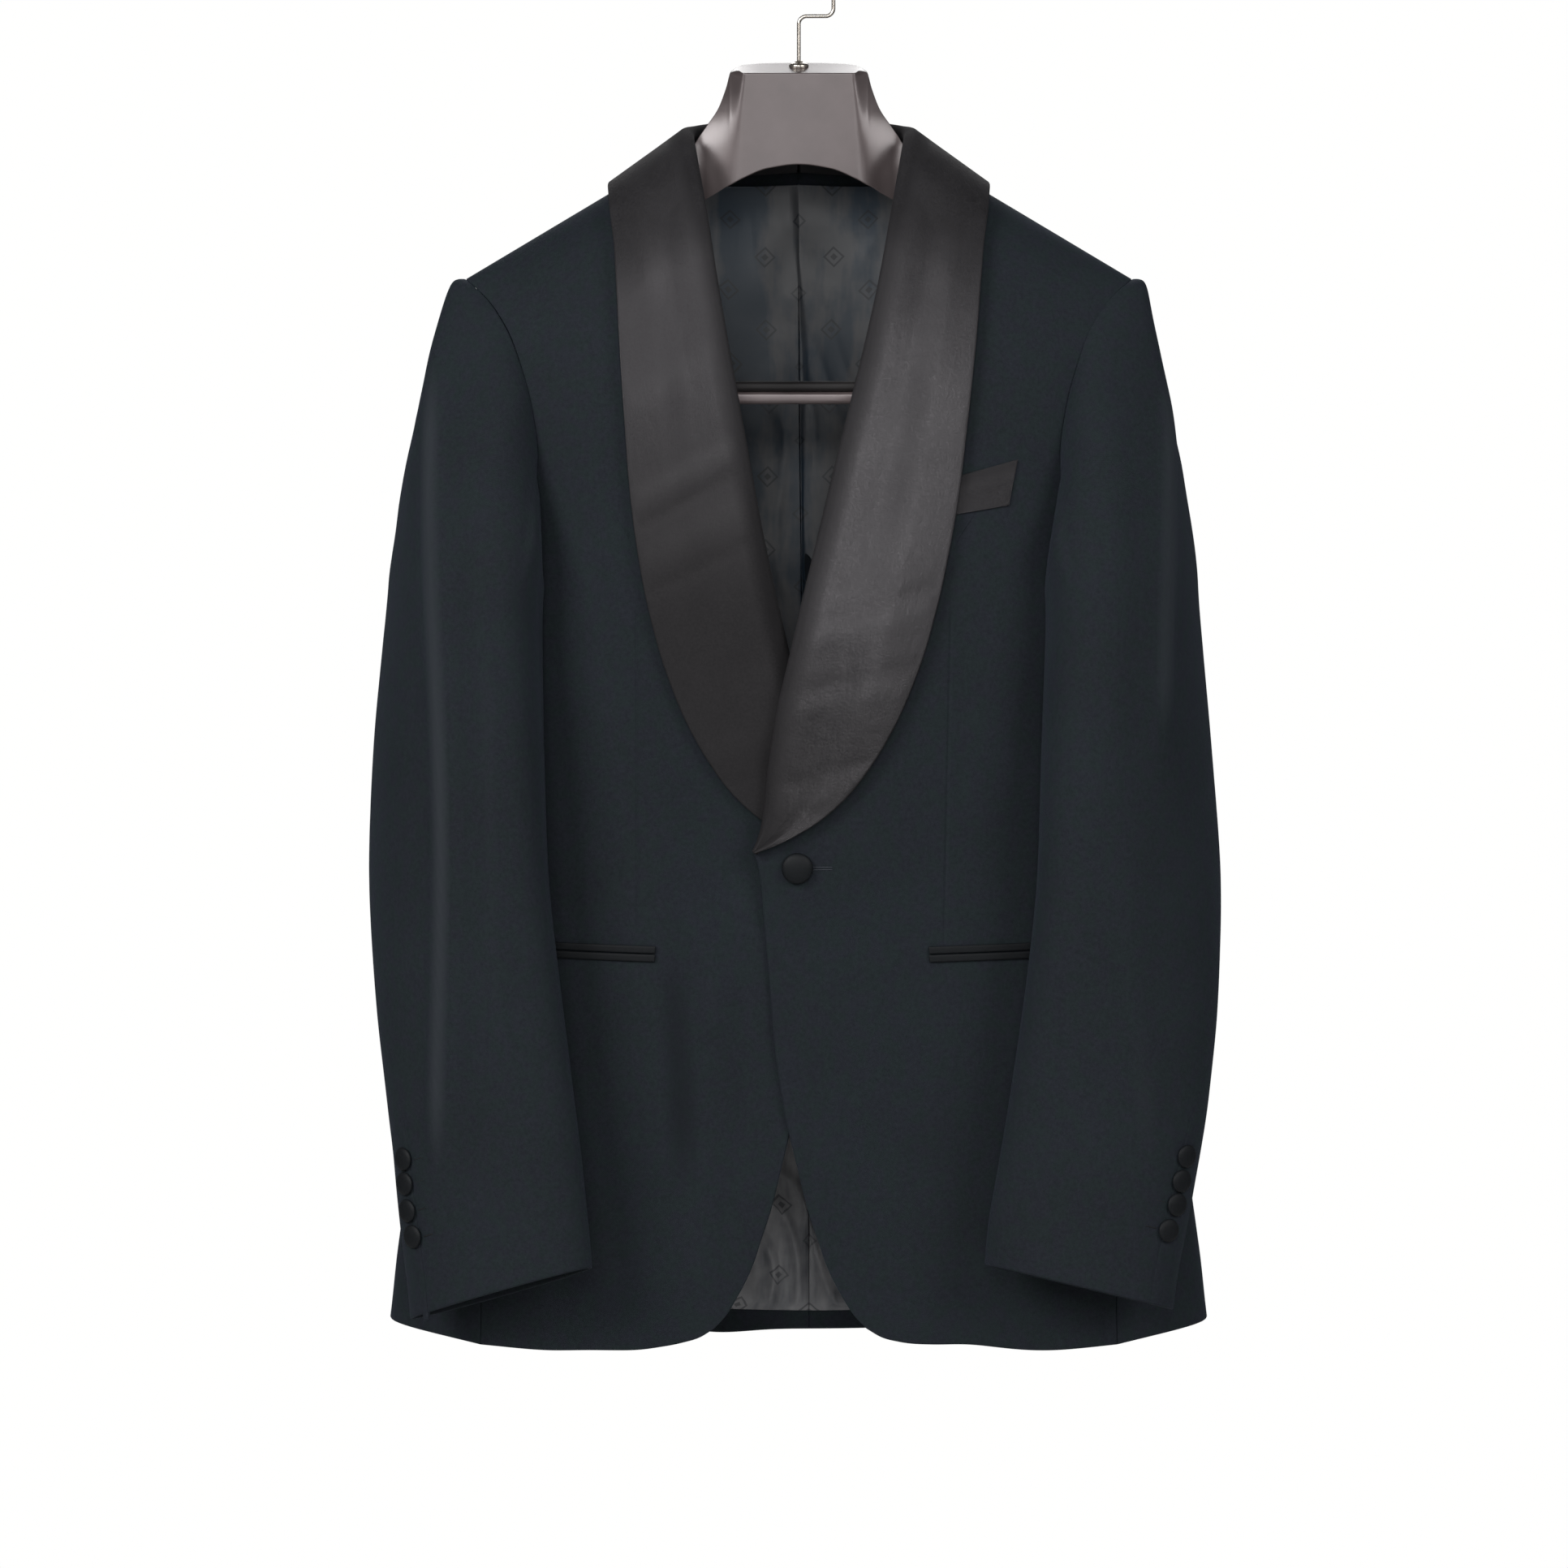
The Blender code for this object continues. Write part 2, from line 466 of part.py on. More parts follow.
# ---- sleeves -----------------------------------------------------------------------------------------------
def sleeve_ring(side, angle, z):
    """Points round a sleeve at heights: an ellipse whose long axis turns from front-to-back
    at the armhole to side-to-side at the cuff."""
    centre, centre_y = smooth(z, SLEEVE, 1), smooth(z, SLEEVE, 2)
    thin, broad = smooth(z, SLEEVE, 3), smooth(z, SLEEVE, 4)
    turn = np.radians(smooth(z, SLEEVE, 5 if side == LEFT else 6))
    out = thin * np.cos(angle) * np.cos(turn) - broad * np.sin(angle) * np.sin(turn)
    y = centre_y - thin * np.cos(angle) * np.sin(turn) - broad * np.sin(angle) * np.cos(turn)
    tilt = tan(CUFF_TILT) * ease((TILT_TOP - z) / TILT_RUN)
    return np.stack([side * (centre + out) + smooth(z, SLEEVE_SWAY), y, z - tilt * out], axis=-1)


def sleeve_angles(loop):
    """Where each point of the armhole goes round the sleeve."""
    round_arm = np.arctan2(-(loop[:, 1] - ARMHOLE_MIDDLE[0]) / ARMHOLE_HALF[0],
                           (loop[:, 2] - ARMHOLE_MIDDLE[1]) / ARMHOLE_HALF[1])
    round_arm = np.degrees(np.unwrap(round_arm))
    return np.radians(np.interp(round_arm, ROUND_ARM[:, 0], ROUND_ARM[:, 1]))


def sleeve_points(side):
    """Outer face of a sleeve: columns round it and rows down. The cap leaves the armhole
    squarely and turns down into the first level ring as a cubic curve."""
    loop = armhole(side)
    angle = sleeve_angles(loop)
    ring = sleeve_ring(side, angle, SLEEVE_TOP)
    drop = (loop[:, 2] - SLEEVE_TOP)[:, None]
    top_share = ease((loop[:, 2:] - CAP_OUT_FOOT) / CAP_OUT_RUN)
    leave = unit(body_normal(loop) * (1 - top_share) + np.array([side, *CAP_OUT]) * top_share)
    below = sleeve_ring(side, angle, SLEEVE_TOP - RING_STEP)
    start = loop + leave * SLEEVE_SET
    t = (np.arange(CAP_ROWS) / CAP_ROWS)[None, :, None]
    start, ring, leave, drop = start[:, None], ring[:, None], leave[:, None], drop[:, None]
    fall = (below[:, None] - ring) / RING_STEP * drop * CAP_FALL
    cap = ((2 * t ** 3 - 3 * t ** 2 + 1) * start + (3 * t ** 2 - 2 * t ** 3) * ring
           + (t ** 3 - 2 * t ** 2 + t) * leave * drop * CAP_LEAVE + (t ** 3 - t ** 2) * fall)
    z = np.linspace(SLEEVE_TOP, SLEEVE_FOOT, ARM_ROWS + 1)[None, :]
    arm = sleeve_ring(side, angle[:, None], z)
    grid = np.concatenate([cap, arm], axis=1)
    clear = SLEEVE_CLEAR * ease(np.arange(grid.shape[1]) / CLEAR_ROWS)
    pushed = settle(grid, clear[None, :], only_out=True)
    return np.concatenate([grid[:, :1], pushed[:, 1:]], axis=1), angle


def build_sleeve(side, material):
    """Top sleeve and under sleeve, parted at the front and the back seam. Returns the two lines
    that the cuff buttons sit between, and the share from one to the other."""
    grid, angle = sleeve_points(side)
    normals = grid_normals(grid, closed=True)
    if np.einsum("ijk,ijk->", normals, grid - grid.mean(axis=0)) < 0:
        normals = -normals
    inner = grid - normals * SLEEVE_CLOTH
    degrees = np.degrees(angle) % 360
    front = int(np.argmin(np.abs(degrees - FRONT_SEAM)))
    back = int(np.argmin(np.abs(degrees - BACK_SEAM)))
    count = len(angle)
    under = np.arange(front, back + 1)
    top = np.arange(back, count + front + 1) % count
    for name, columns in (("sleeve_top", top), ("sleeve_under", under)):
        faces = [trim(face[columns], ("top", "bottom")) for face in (grid, inner)]
        wall(f"{name}_{SIDE_NAMES[side]}", faces[0], faces[1], material)
    before = int(np.searchsorted(degrees[back:], BUTTON_LINE)) + back - 1
    return grid[before], grid[before + 1], (BUTTON_LINE - degrees[before]) / (degrees[before + 1] - degrees[before])


# ---- shawl collar --------------------------------------------------------------------------------------------
def collar_stations():
    """Fold, edge and root of the collar at each table row, for the right half."""
    fold_z, edge_z = LAPEL[:, 0], LAPEL[:, 1]
    fold_x, edge_x = smooth(fold_z, ROLL_LINE), smooth(edge_z, LAPEL_EDGE)
    fold = np.stack([fold_x, body_y(fold_x, fold_z, -1), fold_z], axis=-1)
    edge = np.stack([edge_x, body_y(edge_x, edge_z, -1), edge_z], axis=-1)
    root = fold + unit(edge - fold) * LAPEL_RETURN
    lapel = np.concatenate([fold, edge, root, np.ones((len(fold), 1))], axis=1)
    return np.concatenate([STAND, lapel])


def edge_rise(z):
    """How far the lapel's outer edge stands off more than the rest of it, at a height."""
    return LAPEL_EDGE_RISE * ease((z - EDGE_RISE_FOOT) / EDGE_RISE_RUN)


def collar_strip(side):
    """Middle of the doubled strip: stations along the neck and lapel, and points across it from the root,
    up to the fold and down to the outer edge."""
    rows = collar_stations()
    spacing = np.linalg.norm(np.diff(rows[:, 0:3], axis=0), axis=1) + 0.5 * np.linalg.norm(
        np.diff(rows[:, 3:6], axis=0), axis=1)
    place = np.concatenate([[0.0], np.cumsum(spacing)])
    at = np.linspace(0, place[-1], COLLAR_STATIONS)
    table = np.stack([smooth(at, np.stack([place, rows[:, c]], -1)) for c in range(10)], axis=-1)
    fold, edge, root, lying = table[:, 0:3], table[:, 3:6], table[:, 6:9], np.clip(table[:, 9:], 0, 1)
    for run in (fold, edge, root):
        run[:, 0] *= side
        run[:, 0] += sway(run[:, 0], run[:, 2]) * lying[:, 0]
    rise = [lap_rise(side, run[:, 0], run[:, 2]) for run in (fold, edge, root)]
    fold = fold + lying * (settle(fold, FOLD_LIFT + rise[0]) - fold)
    edge = settle(edge, LAPEL_LIFT + edge_rise(edge[:, 2]) + rise[1])
    root = settle(root, ROOT_LIFT + rise[2])
    radius = (NECK_FOLD + (LAPEL_FOLD - NECK_FOLD) * lying)
    along = unit(np.gradient(fold, axis=0))
    leg = unit(edge - fold) + unit(root - fold)
    leg = unit(leg - along * np.einsum("ij,ij->i", leg, along)[:, None])
    out = np.cross(along, leg) * side
    out[0, 0] = 0.0
    centre = fold + leg * (radius + COLLAR_CLOTH / 2)
    bend = np.linspace(0, pi, FOLD_STEPS + 1)
    bow = [centre - radius * (out * cos(b) + leg * sin(b)) for b in bend]
    neck_edge = root + (bow[0] - root) * ROOT_SHARE
    inner_leg = [root, settle(neck_edge, ROOT_LIFT + lap_rise(side, neck_edge[:, 0], neck_edge[:, 2]))]
    outer_leg = [bow[-1] + (edge - bow[-1]) * s for s in np.linspace(0, 1, LEG_STEPS + 1)[1:]]
    strip = np.stack(inner_leg + bow + outer_leg, axis=1)
    share = np.linspace(0, 1, LEG_STEPS + 1)[1:]
    leaf = strip[:, -LEG_STEPS:]
    lift = LAPEL_LIFT + edge_rise(leaf[..., 2]) * ease((share - EDGE_SHARE) / EDGE_SHARE)
    lift = lift + lap_rise(side, leaf[..., 0], leaf[..., 2])
    strip[:, -LEG_STEPS:] = settle(leaf, lift, only_out=True)
    strip[0, :, 0] = 0.0
    return strip


def build_collar(side, material):
    """One half of the shawl collar, from the centre back to the foot of the lapel."""
    strip = collar_strip(side)
    normals = grid_normals(strip)
    normals[0, :, 0] = 0.0
    normals = unit(normals)
    half = COLLAR_CLOTH / 2
    faces = [trim(strip + normals * h, ("top",)) for h in (half, -half)]
    wall(f"collar_{SIDE_NAMES[side]}", faces[0], faces[1], material)


# ---- pockets and buttons -------------------------------------------------------------------------------------
def at_height(column, z):
    """The point of a panel's column at a height, on the column's own straight pieces."""
    order = np.argsort(column[:, 2])
    return np.array([np.interp(z, column[order, 2], column[order, k]) for k in range(3)])


def build_jets(side, material):
    """Upper and lower jet of a hip pocket, run along the columns of the front and the side body."""
    front, body = front_points(side), side_points(side)
    columns = [front[:, k] for k in range(front.shape[1])] + [body[:, k] for k in range(1, body.shape[1])]
    middle = [at_height(column, POCKET_TOP) for column in columns]
    girth = np.array([girth_at(p[0] - sway(p[0], p[2]), p[2], -1) for p in middle[:front.shape[1]]]
                     + [girth_at(p[0], p[2], -1 if p[1] < middle_y(p[0], p[2]) else 1)
                        for p in middle[front.shape[1]:]])
    start = float(girth_at(POCKET_INNER, POCKET_TOP, -1))
    stop = start + POCKET_LENGTH
    inside = girth[(girth > start + 3) & (girth < stop - 3)]
    stations = np.concatenate([[start], inside, [stop]])
    for name, drop in (("upper", 0.0), ("lower", JET_HEIGHT + JET_PARTING)):
        edges = []
        for station in stations:
            k = int(np.clip(np.searchsorted(girth, station) - 1, 0, len(columns) - 2))
            share = (station - girth[k]) / (girth[k + 1] - girth[k])
            top = POCKET_TOP - drop + POCKET_RISE * (station - start)
            edges.append([(1 - share) * at_height(columns[k], z) + share * at_height(columns[k + 1], z)
                          for z in (top, top - JET_HEIGHT)])
        grid = np.array(edges)
        normals = body_normal(grid)
        low = grid + normals * (JET_GAP + lap_rise(side, grid[..., 0], grid[..., 2]))[..., None]
        wall(f"jet_{name}_{SIDE_NAMES[side]}", low + normals * JET_CLOTH, low, material)


def build_welt(material):
    """Breast pocket welt on the right front; its inner end goes under the lapel."""
    a, b, c, d = [np.array(corner) for corner in WELT_CORNERS]
    u = np.linspace(0, 1, WELT_COLUMNS + 1)[:, None, None]
    v = np.linspace(0, 1, 3)[None, :, None]
    plane = (1 - v) * (a + (b - a) * u) + v * (d + (c - d) * u)
    x, z = plane[..., 0], plane[..., 1]
    grid = np.stack([x, body_y(x, z, -1), z], axis=-1)
    normals = body_normal(grid)
    low = grid + normals * (SEAM_GAP + lap_rise(RIGHT, x, z))[..., None]
    wall("welt_breast", low + normals * SATIN_TRIM, low, material)


def button(name, radius, place, normal, steps, material):
    """A cloth-covered button: a domed profile turned round its axis and set on the cloth."""
    points = [(radius * r * MM, 0.0, BUTTON_HEIGHT * radius * h * MM) for r, h in BUTTON_PROFILE]
    mesh = bpy.data.meshes.new(name)
    mesh.from_pydata(points, [(k, k + 1) for k in range(len(points) - 1)], [])
    mesh.materials.append(material)
    obj = bpy.data.objects.new(name, mesh)
    PARTS.objects.link(obj)
    turn = obj.modifiers.new("turn", "SCREW")
    turn.steps = turn.render_steps = steps
    turn.use_merge_vertices = True
    turn.merge_threshold = 0.00005
    turn.use_smooth_shade = True
    obj.location = Vector((place + normal * SEAM_GAP) * MM)
    obj.rotation_euler = Vector(normal).to_track_quat("Z", "Y").to_euler()


def build_front_button(material):
    """The one front button, on the right front beside the foot of the lapel."""
    x, z = FRONT_BUTTON
    place = np.array([x, float(body_y(x, z, -1)), z])
    normal = body_normal(place)
    button("button_front", FRONT_BUTTON_R, place + normal * float(lap_rise(RIGHT, x, z)), normal, 24, material)


def build_cuff_buttons(side, one, other, share, material):
    """Four buttons up the back of a cuff, between two lines of the sleeve."""
    for number, z in enumerate(CUFF_BUTTONS, start=1):
        here, there = at_height(one, z), at_height(other, z)
        along = at_height(one, z + CUFF_BUTTON_R) - at_height(one, z - CUFF_BUTTON_R)
        normal = unit(np.cross(there - here, along))
        place = here + (there - here) * share + normal * np.sign(normal @ (0, -1, 0)) * CUFF_BUTTON_STAND
        button(f"button_cuff_{SIDE_NAMES[side]}_{number}", CUFF_BUTTON_R, place,
               normal * np.sign(normal @ (0, -1, 0)), 14, material)


# ---- hanger --------------------------------------------------------------------------------------------------
def build_hanger_body(material):
    """Broad shaped hanger: level-sided oval sections lofted from one arm's end to the other's."""
    table = np.concatenate([HANGER[:0:-1] * (-1, 1, 1, 1, 1), HANGER])
    angle = np.linspace(0, 2 * pi, HANGER_SIDES, endpoint=False)
    section_y = np.sign(np.cos(angle)) * np.abs(np.cos(angle)) ** HANGER_ROUNDNESS
    section_z = np.sign(np.sin(angle)) * np.abs(np.sin(angle)) ** HANGER_ROUNDNESS
    x, top, bottom, ahead, behind = [table[:, k:k + 1] for k in range(5)]
    y = middle_y(x, shoulder_z(x)) + np.where(section_y < 0, ahead, behind) * section_y
    z = (top + bottom) / 2 + (top - bottom) / 2 * section_z
    points = np.stack([x + 0 * y, y, z], axis=-1)
    behind_middle = y - middle_y(x, shoulder_z(x))
    lined = np.maximum(ease((behind_middle - LINED_BEHIND[0]) / LINED_BEHIND[1]),
                       ease((np.abs(x) - LINED_END[0]) / LINED_END[1]))
    inside = CLOTH + ARM_GAP + (LINING_EASE + LINING_CLOTH + ARM_GAP) * lined
    fitted = settle(points, -inside, only_in=True)
    points = np.where(np.abs(x)[..., None] > ARM_START, fitted, points)
    rings, sides = points.shape[:2]
    index = np.arange(rings * sides).reshape(rings, sides)
    turned = np.roll(index, -1, axis=1)
    quads = np.stack([index[:-1], turned[:-1], turned[1:], index[1:]], axis=-1).reshape(-1, 4)
    faces = [tuple(q) for q in quads] + [tuple(index[0, ::-1]), tuple(index[-1])]
    add_mesh("hanger_body", points.reshape(-1, 3), faces, material)


def arc(centre_x, centre_z, radius, start, end, count):
    """Points on an arc in the hook's plane, angles in degrees."""
    return [(centre_x + radius * cos(radians(a)), centre_z + radius * sin(radians(a)))
            for a in np.linspace(start, end, count)]


def build_hook(material):
    """Wire hook: stem, a jog to the side, and the arc whose inner side bears on the rail."""
    centre_z = WIRE_R - HOOK_R
    path = [(0, STEM_FOOT), (0, (STEM_FOOT + JOG_Z) / 2)]
    path += arc(HOOK_BEND, JOG_Z - HOOK_BEND, HOOK_BEND, 180, 90, 5)
    path += arc(HOOK_R - HOOK_BEND, JOG_Z + HOOK_BEND, HOOK_BEND, -90, 0, 5)
    path += arc(0, centre_z, HOOK_R, 0, HOOK_SWEEP, 20)
    curve = bpy.data.curves.new("hanger_hook", "CURVE")
    curve.dimensions = "3D"
    curve.bevel_depth = WIRE_R * MM
    curve.bevel_resolution = 2
    curve.use_fill_caps = True
    spline = curve.splines.new("POLY")
    spline.points.add(len(path) - 1)
    for point, (x, z) in zip(spline.points, path):
        point.co = (x * MM, 0, z * MM, 1)
    curve.materials.append(material)
    PARTS.objects.link(bpy.data.objects.new("hanger_hook", curve))


def box(name, low, high, material, bevel):
    """A box between two corners with rounded edges."""
    low, high = np.array(low), np.array(high)
    bpy.ops.mesh.primitive_cube_add(size=1, location=tuple((low + high) / 2 * MM))
    obj = bpy.context.object
    obj.name = obj.data.name = name
    obj.data.transform(Matrix.Diagonal((*((high - low) * MM), 1.0)))
    obj.data.materials.append(material)
    rounding = obj.modifiers.new("rounding", "BEVEL")
    rounding.width = bevel * MM
    rounding.segments = 2
    to_parts(obj)


def to_parts(obj):
    """Keep an object that an operator made in the jacket's collection alone."""
    for collection in list(obj.users_collection):
        collection.objects.unlink(obj)
    PARTS.objects.link(obj)


def build_ferrule(material):
    """Small turned collar where the hook enters the hanger."""
    foot, top = HANGER[0, 1] + SEAM_GAP, STEM_FOOT - SEAM_GAP
    bpy.ops.mesh.primitive_cylinder_add(vertices=20, radius=FERRULE_R * MM, depth=(top - foot) * MM,
                                        location=(0, 0, (top + foot) / 2 * MM))
    obj = bpy.context.object
    obj.name = obj.data.name = "hanger_ferrule"
    obj.data.materials.append(material)
    rounding = obj.modifiers.new("rounding", "BEVEL")
    rounding.width = FERRULE_ROUND * MM
    rounding.limit_method = "ANGLE"
    to_parts(obj)


def build_bar(bar_material, grip_material):
    """Trouser bar under the arms: the bar, the grip strip on it and a post at each end."""
    depth = BAR_DEPTH / 2
    box("hanger_bar", (-BAR_HALF, BAR_Y - depth, BAR_FOOT), (BAR_HALF, BAR_Y + depth, BAR_MIDDLE),
        bar_material, BAR_ROUND)
    box("hanger_bar_grip", (GRIP_SHORT - BAR_HALF, BAR_Y - depth, BAR_MIDDLE + SEAM_GAP),
        (BAR_HALF - GRIP_SHORT, BAR_Y + depth, BAR_TOP), grip_material, GRIP_ROUND)
    arm_foot = straight(POST_HEAD_X, HANGER, 2)
    for side in (LEFT, RIGHT):
        x = side * POST_X
        box(f"hanger_post_{SIDE_NAMES[side]}", (x - POST_WIDTH / 2, BAR_Y - POST_DEPTH / 2, BAR_FOOT),
            (x + POST_WIDTH / 2, BAR_Y + POST_DEPTH / 2, arm_foot - SEAM_GAP), bar_material, POST_ROUND)


# ---- materials and the whole -----------------------------------------------------------------------------------
def material(name, colour, roughness, metallic=0.0):
    """A plain Principled material."""
    made = bpy.data.materials.new(name)
    made.use_nodes = True
    shader = made.node_tree.nodes["Principled BSDF"]
    shader.inputs["Base Color"].default_value = (*colour, 1.0)
    shader.inputs["Roughness"].default_value = roughness
    shader.inputs["Metallic"].default_value = metallic
    return made


def build():
    """Make every piece of the jacket and its hanger."""
    wool = material("wool", (0.012, 0.014, 0.020), 0.9)
    satin = material("satin", (0.045, 0.045, 0.048), 0.45)
    lining = material("lining", (0.025, 0.028, 0.040), 0.5)
    lacquer = material("hanger_lacquer", (0.11, 0.075, 0.07), 0.25)
    steel = material("hook_metal", (0.45, 0.42, 0.38), 0.3, 1.0)
    felt = material("bar_grip", (0.02, 0.018, 0.018), 0.8)
    for side in (LEFT, RIGHT):
        name = SIDE_NAMES[side]
        front = front_points(side)
        panel_wall(f"front_{name}", front, lap_rise(side, front[..., 0], front[..., 2]), CLOTH,
                   ("top", "last"), wool)
        panel_wall(f"side_{name}", side_points(side), 0.0, CLOTH, ("top", "first", "last"), wool)
        panel_wall(f"back_{name}", back_points(side), 0.0, CLOTH, ("top", "first", "last"), wool)
        panel_wall(f"lining_back_{name}", back_points(side, lining=True), -CLOTH - LINING_EASE, LINING_CLOTH,
                   ("first",), lining)
        build_collar(side, satin)
        build_cuff_buttons(side, *build_sleeve(side, wool), satin)
        build_jets(side, satin)
    build_welt(satin)
    build_front_button(satin)
    build_hanger_body(lacquer)
    build_ferrule(steel)
    build_hook(steel)
    build_bar(lacquer, felt)


for old in list(bpy.data.objects):
    bpy.data.objects.remove(old)
PARTS = bpy.data.collections.new("tuxedo_jacket_on_hanger")
bpy.context.scene.collection.children.link(PARTS)
build()
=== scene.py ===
# %% [markdown]
# # A one-button dinner jacket on its hanger
#
# The jacket hangs closed. Its body and sleeves are a fine dark wool, the shawl collar, the pocket
# edges, the breast welt and the covered buttons are satin, and the lining shows in the neck and where
# the fronts part at the hem. Everything here is worked out as surfaces: a piece is a grid of points,
# and each point is a formula of how far across and how far down the cloth it lies.
#
# The solids of every piece are loaded first. They are the fixed frame, and each new piece takes the
# place of one of them.

# %% Load the solids and keep their box
from math import cos, pi, radians, sin, tan

import bpy
import numpy as np
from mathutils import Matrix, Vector


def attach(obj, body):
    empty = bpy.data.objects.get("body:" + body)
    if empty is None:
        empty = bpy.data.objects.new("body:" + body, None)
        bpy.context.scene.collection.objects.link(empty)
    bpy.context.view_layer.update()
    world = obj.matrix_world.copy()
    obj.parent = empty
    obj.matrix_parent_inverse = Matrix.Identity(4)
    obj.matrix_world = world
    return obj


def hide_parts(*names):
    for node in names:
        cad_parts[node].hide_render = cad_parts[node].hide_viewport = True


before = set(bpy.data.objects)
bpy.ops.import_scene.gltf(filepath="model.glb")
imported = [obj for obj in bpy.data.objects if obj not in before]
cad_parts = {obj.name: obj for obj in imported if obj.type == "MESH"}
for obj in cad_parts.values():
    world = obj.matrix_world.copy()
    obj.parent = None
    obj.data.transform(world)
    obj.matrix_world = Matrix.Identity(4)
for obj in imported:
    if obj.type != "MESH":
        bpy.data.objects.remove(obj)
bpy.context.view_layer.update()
LEFT, RIGHT = -1, 1
NAMES = {LEFT: "left", RIGHT: "right"}
MM = 0.001

# %% [markdown]
# ## Camera, floor and light
#
# A garment shop hangs the jacket before a white ground, among five soft lights: a strong one from the left,
# a weaker one from the right, one in front, a small one low down that reaches into the open hem, and one
# behind that rims the hanger. A long lens from five metres keeps the hem from looking small under the
# shoulders. The sky is a gradient: brightest at the level of the eye and dark overhead and underfoot.

# %% Camera
camera = bpy.data.objects.new("camera", bpy.data.cameras.new("camera"))
camera.location = (-0.0095, -5.0, -0.066)
camera.rotation_euler = (radians(84.7), 0.0, 0.0)
camera.data.lens = 178.17
camera.data.sensor_width = 36.0
bpy.context.scene.collection.objects.link(camera)
bpy.context.scene.camera = camera
bpy.context.scene.view_settings.view_transform = "Standard"
print("camera at", tuple(camera.location))


# %% Floor and lights
def soft_light(name, place, aim, size, power):
    """A square soft light at a place, turned to an aim: size in metres, power in watts."""
    lamp = bpy.data.lights.new(name, "AREA")
    lamp.size, lamp.energy = size, power
    obj = bpy.data.objects.new(name, lamp)
    obj.location = place
    obj.rotation_euler = (Vector(aim) - Vector(place)).to_track_quat("-Z", "Y").to_euler()
    obj.visible_camera = False
    bpy.context.scene.collection.objects.link(obj)


soft_light("key", (-2.3, -2.5, 1.2), (0.0, 0.0, -0.40), 1.5, 88.0)
soft_light("front", (-0.2, -3.7, 0.85), (0.0, 0.0, -0.40), 1.5, 40.0)
soft_light("fill", (2.3, -2.4, 0.95), (0.0, 0.0, -0.40), 1.5, 48.0)
soft_light("low", (0.2, -4.6, -0.45), (0.0, 0.0, -0.6), 0.9, 8.0)
soft_light("top", (0.0, 1.4, 0.62), (0.0, 0.0, -0.1), 0.8, 6.4)

FLOOR_Z, FLOOR_RADIUS = -1.62, 2.6
angle = np.linspace(0, 2 * pi, 96, endpoint=False)
disc = np.stack([FLOOR_RADIUS * np.cos(angle), FLOOR_RADIUS * np.sin(angle), FLOOR_Z + 0 * angle], -1)
floor_mesh = bpy.data.meshes.new("floor")
floor_mesh.from_pydata(disc.tolist(), [], [tuple(range(96))])
floor = bpy.data.objects.new("floor", floor_mesh)
bpy.context.scene.collection.objects.link(floor)
print("floor at", FLOOR_Z)

# %% Sky
world = bpy.data.worlds.new("studio")
bpy.context.scene.world = world
world.use_nodes = True
sky = world.node_tree
sky.nodes.clear()
direction = sky.nodes.new("ShaderNodeTexCoord")
height = sky.nodes.new("ShaderNodeSeparateXYZ")
level = sky.nodes.new("ShaderNodeMapRange")
level.inputs["From Min"].default_value = -1.0
ramp = sky.nodes.new("ShaderNodeValToRGB")
# direction from straight down (-1) to straight up (1), brightness
for up, grey in ((-0.3, 0.06), (-0.05, 0.14), (0.2, 0.15), (0.55, 0.06)):
    ramp.color_ramp.elements.new((up + 1) / 2).color = (grey, grey, grey * 1.03, 1)
for end in (0, -1):
    ramp.color_ramp.elements[end].color = (0.03, 0.03, 0.0309, 1)
lit, seen = sky.nodes.new("ShaderNodeBackground"), sky.nodes.new("ShaderNodeBackground")
seen.inputs["Color"].default_value = (1.0, 1.0, 0.995, 1)
path = sky.nodes.new("ShaderNodeLightPath")
mix = sky.nodes.new("ShaderNodeMixShader")
out = sky.nodes.new("ShaderNodeOutputWorld")
for start, end in (
        (direction.outputs["Generated"], height.inputs[0]), (height.outputs["Z"], level.inputs["Value"]),
        (level.outputs[0], ramp.inputs[0]), (ramp.outputs[0], lit.inputs["Color"]),
        (path.outputs["Is Camera Ray"], mix.inputs[0]), (lit.outputs[0], mix.inputs[1]),
        (seen.outputs[0], mix.inputs[2]), (mix.outputs[0], out.inputs[0])):
    sky.links.new(start, end)
print("sky: bright at eye level, dark overhead")

# %% [markdown]
# ## Finishes
#
# Cloth is mostly read from its weave and its sheen. Each finish here is a graph of nodes, and a small
# helper keeps them short. Wool scatters light off its hairs, so it gets a little sheen and a bump of
# crossing threads. Satin hides its weft under long floats of warp, which is why it shines. The pattern
# follows each piece's own UV map, whose unit is a metre of cloth.


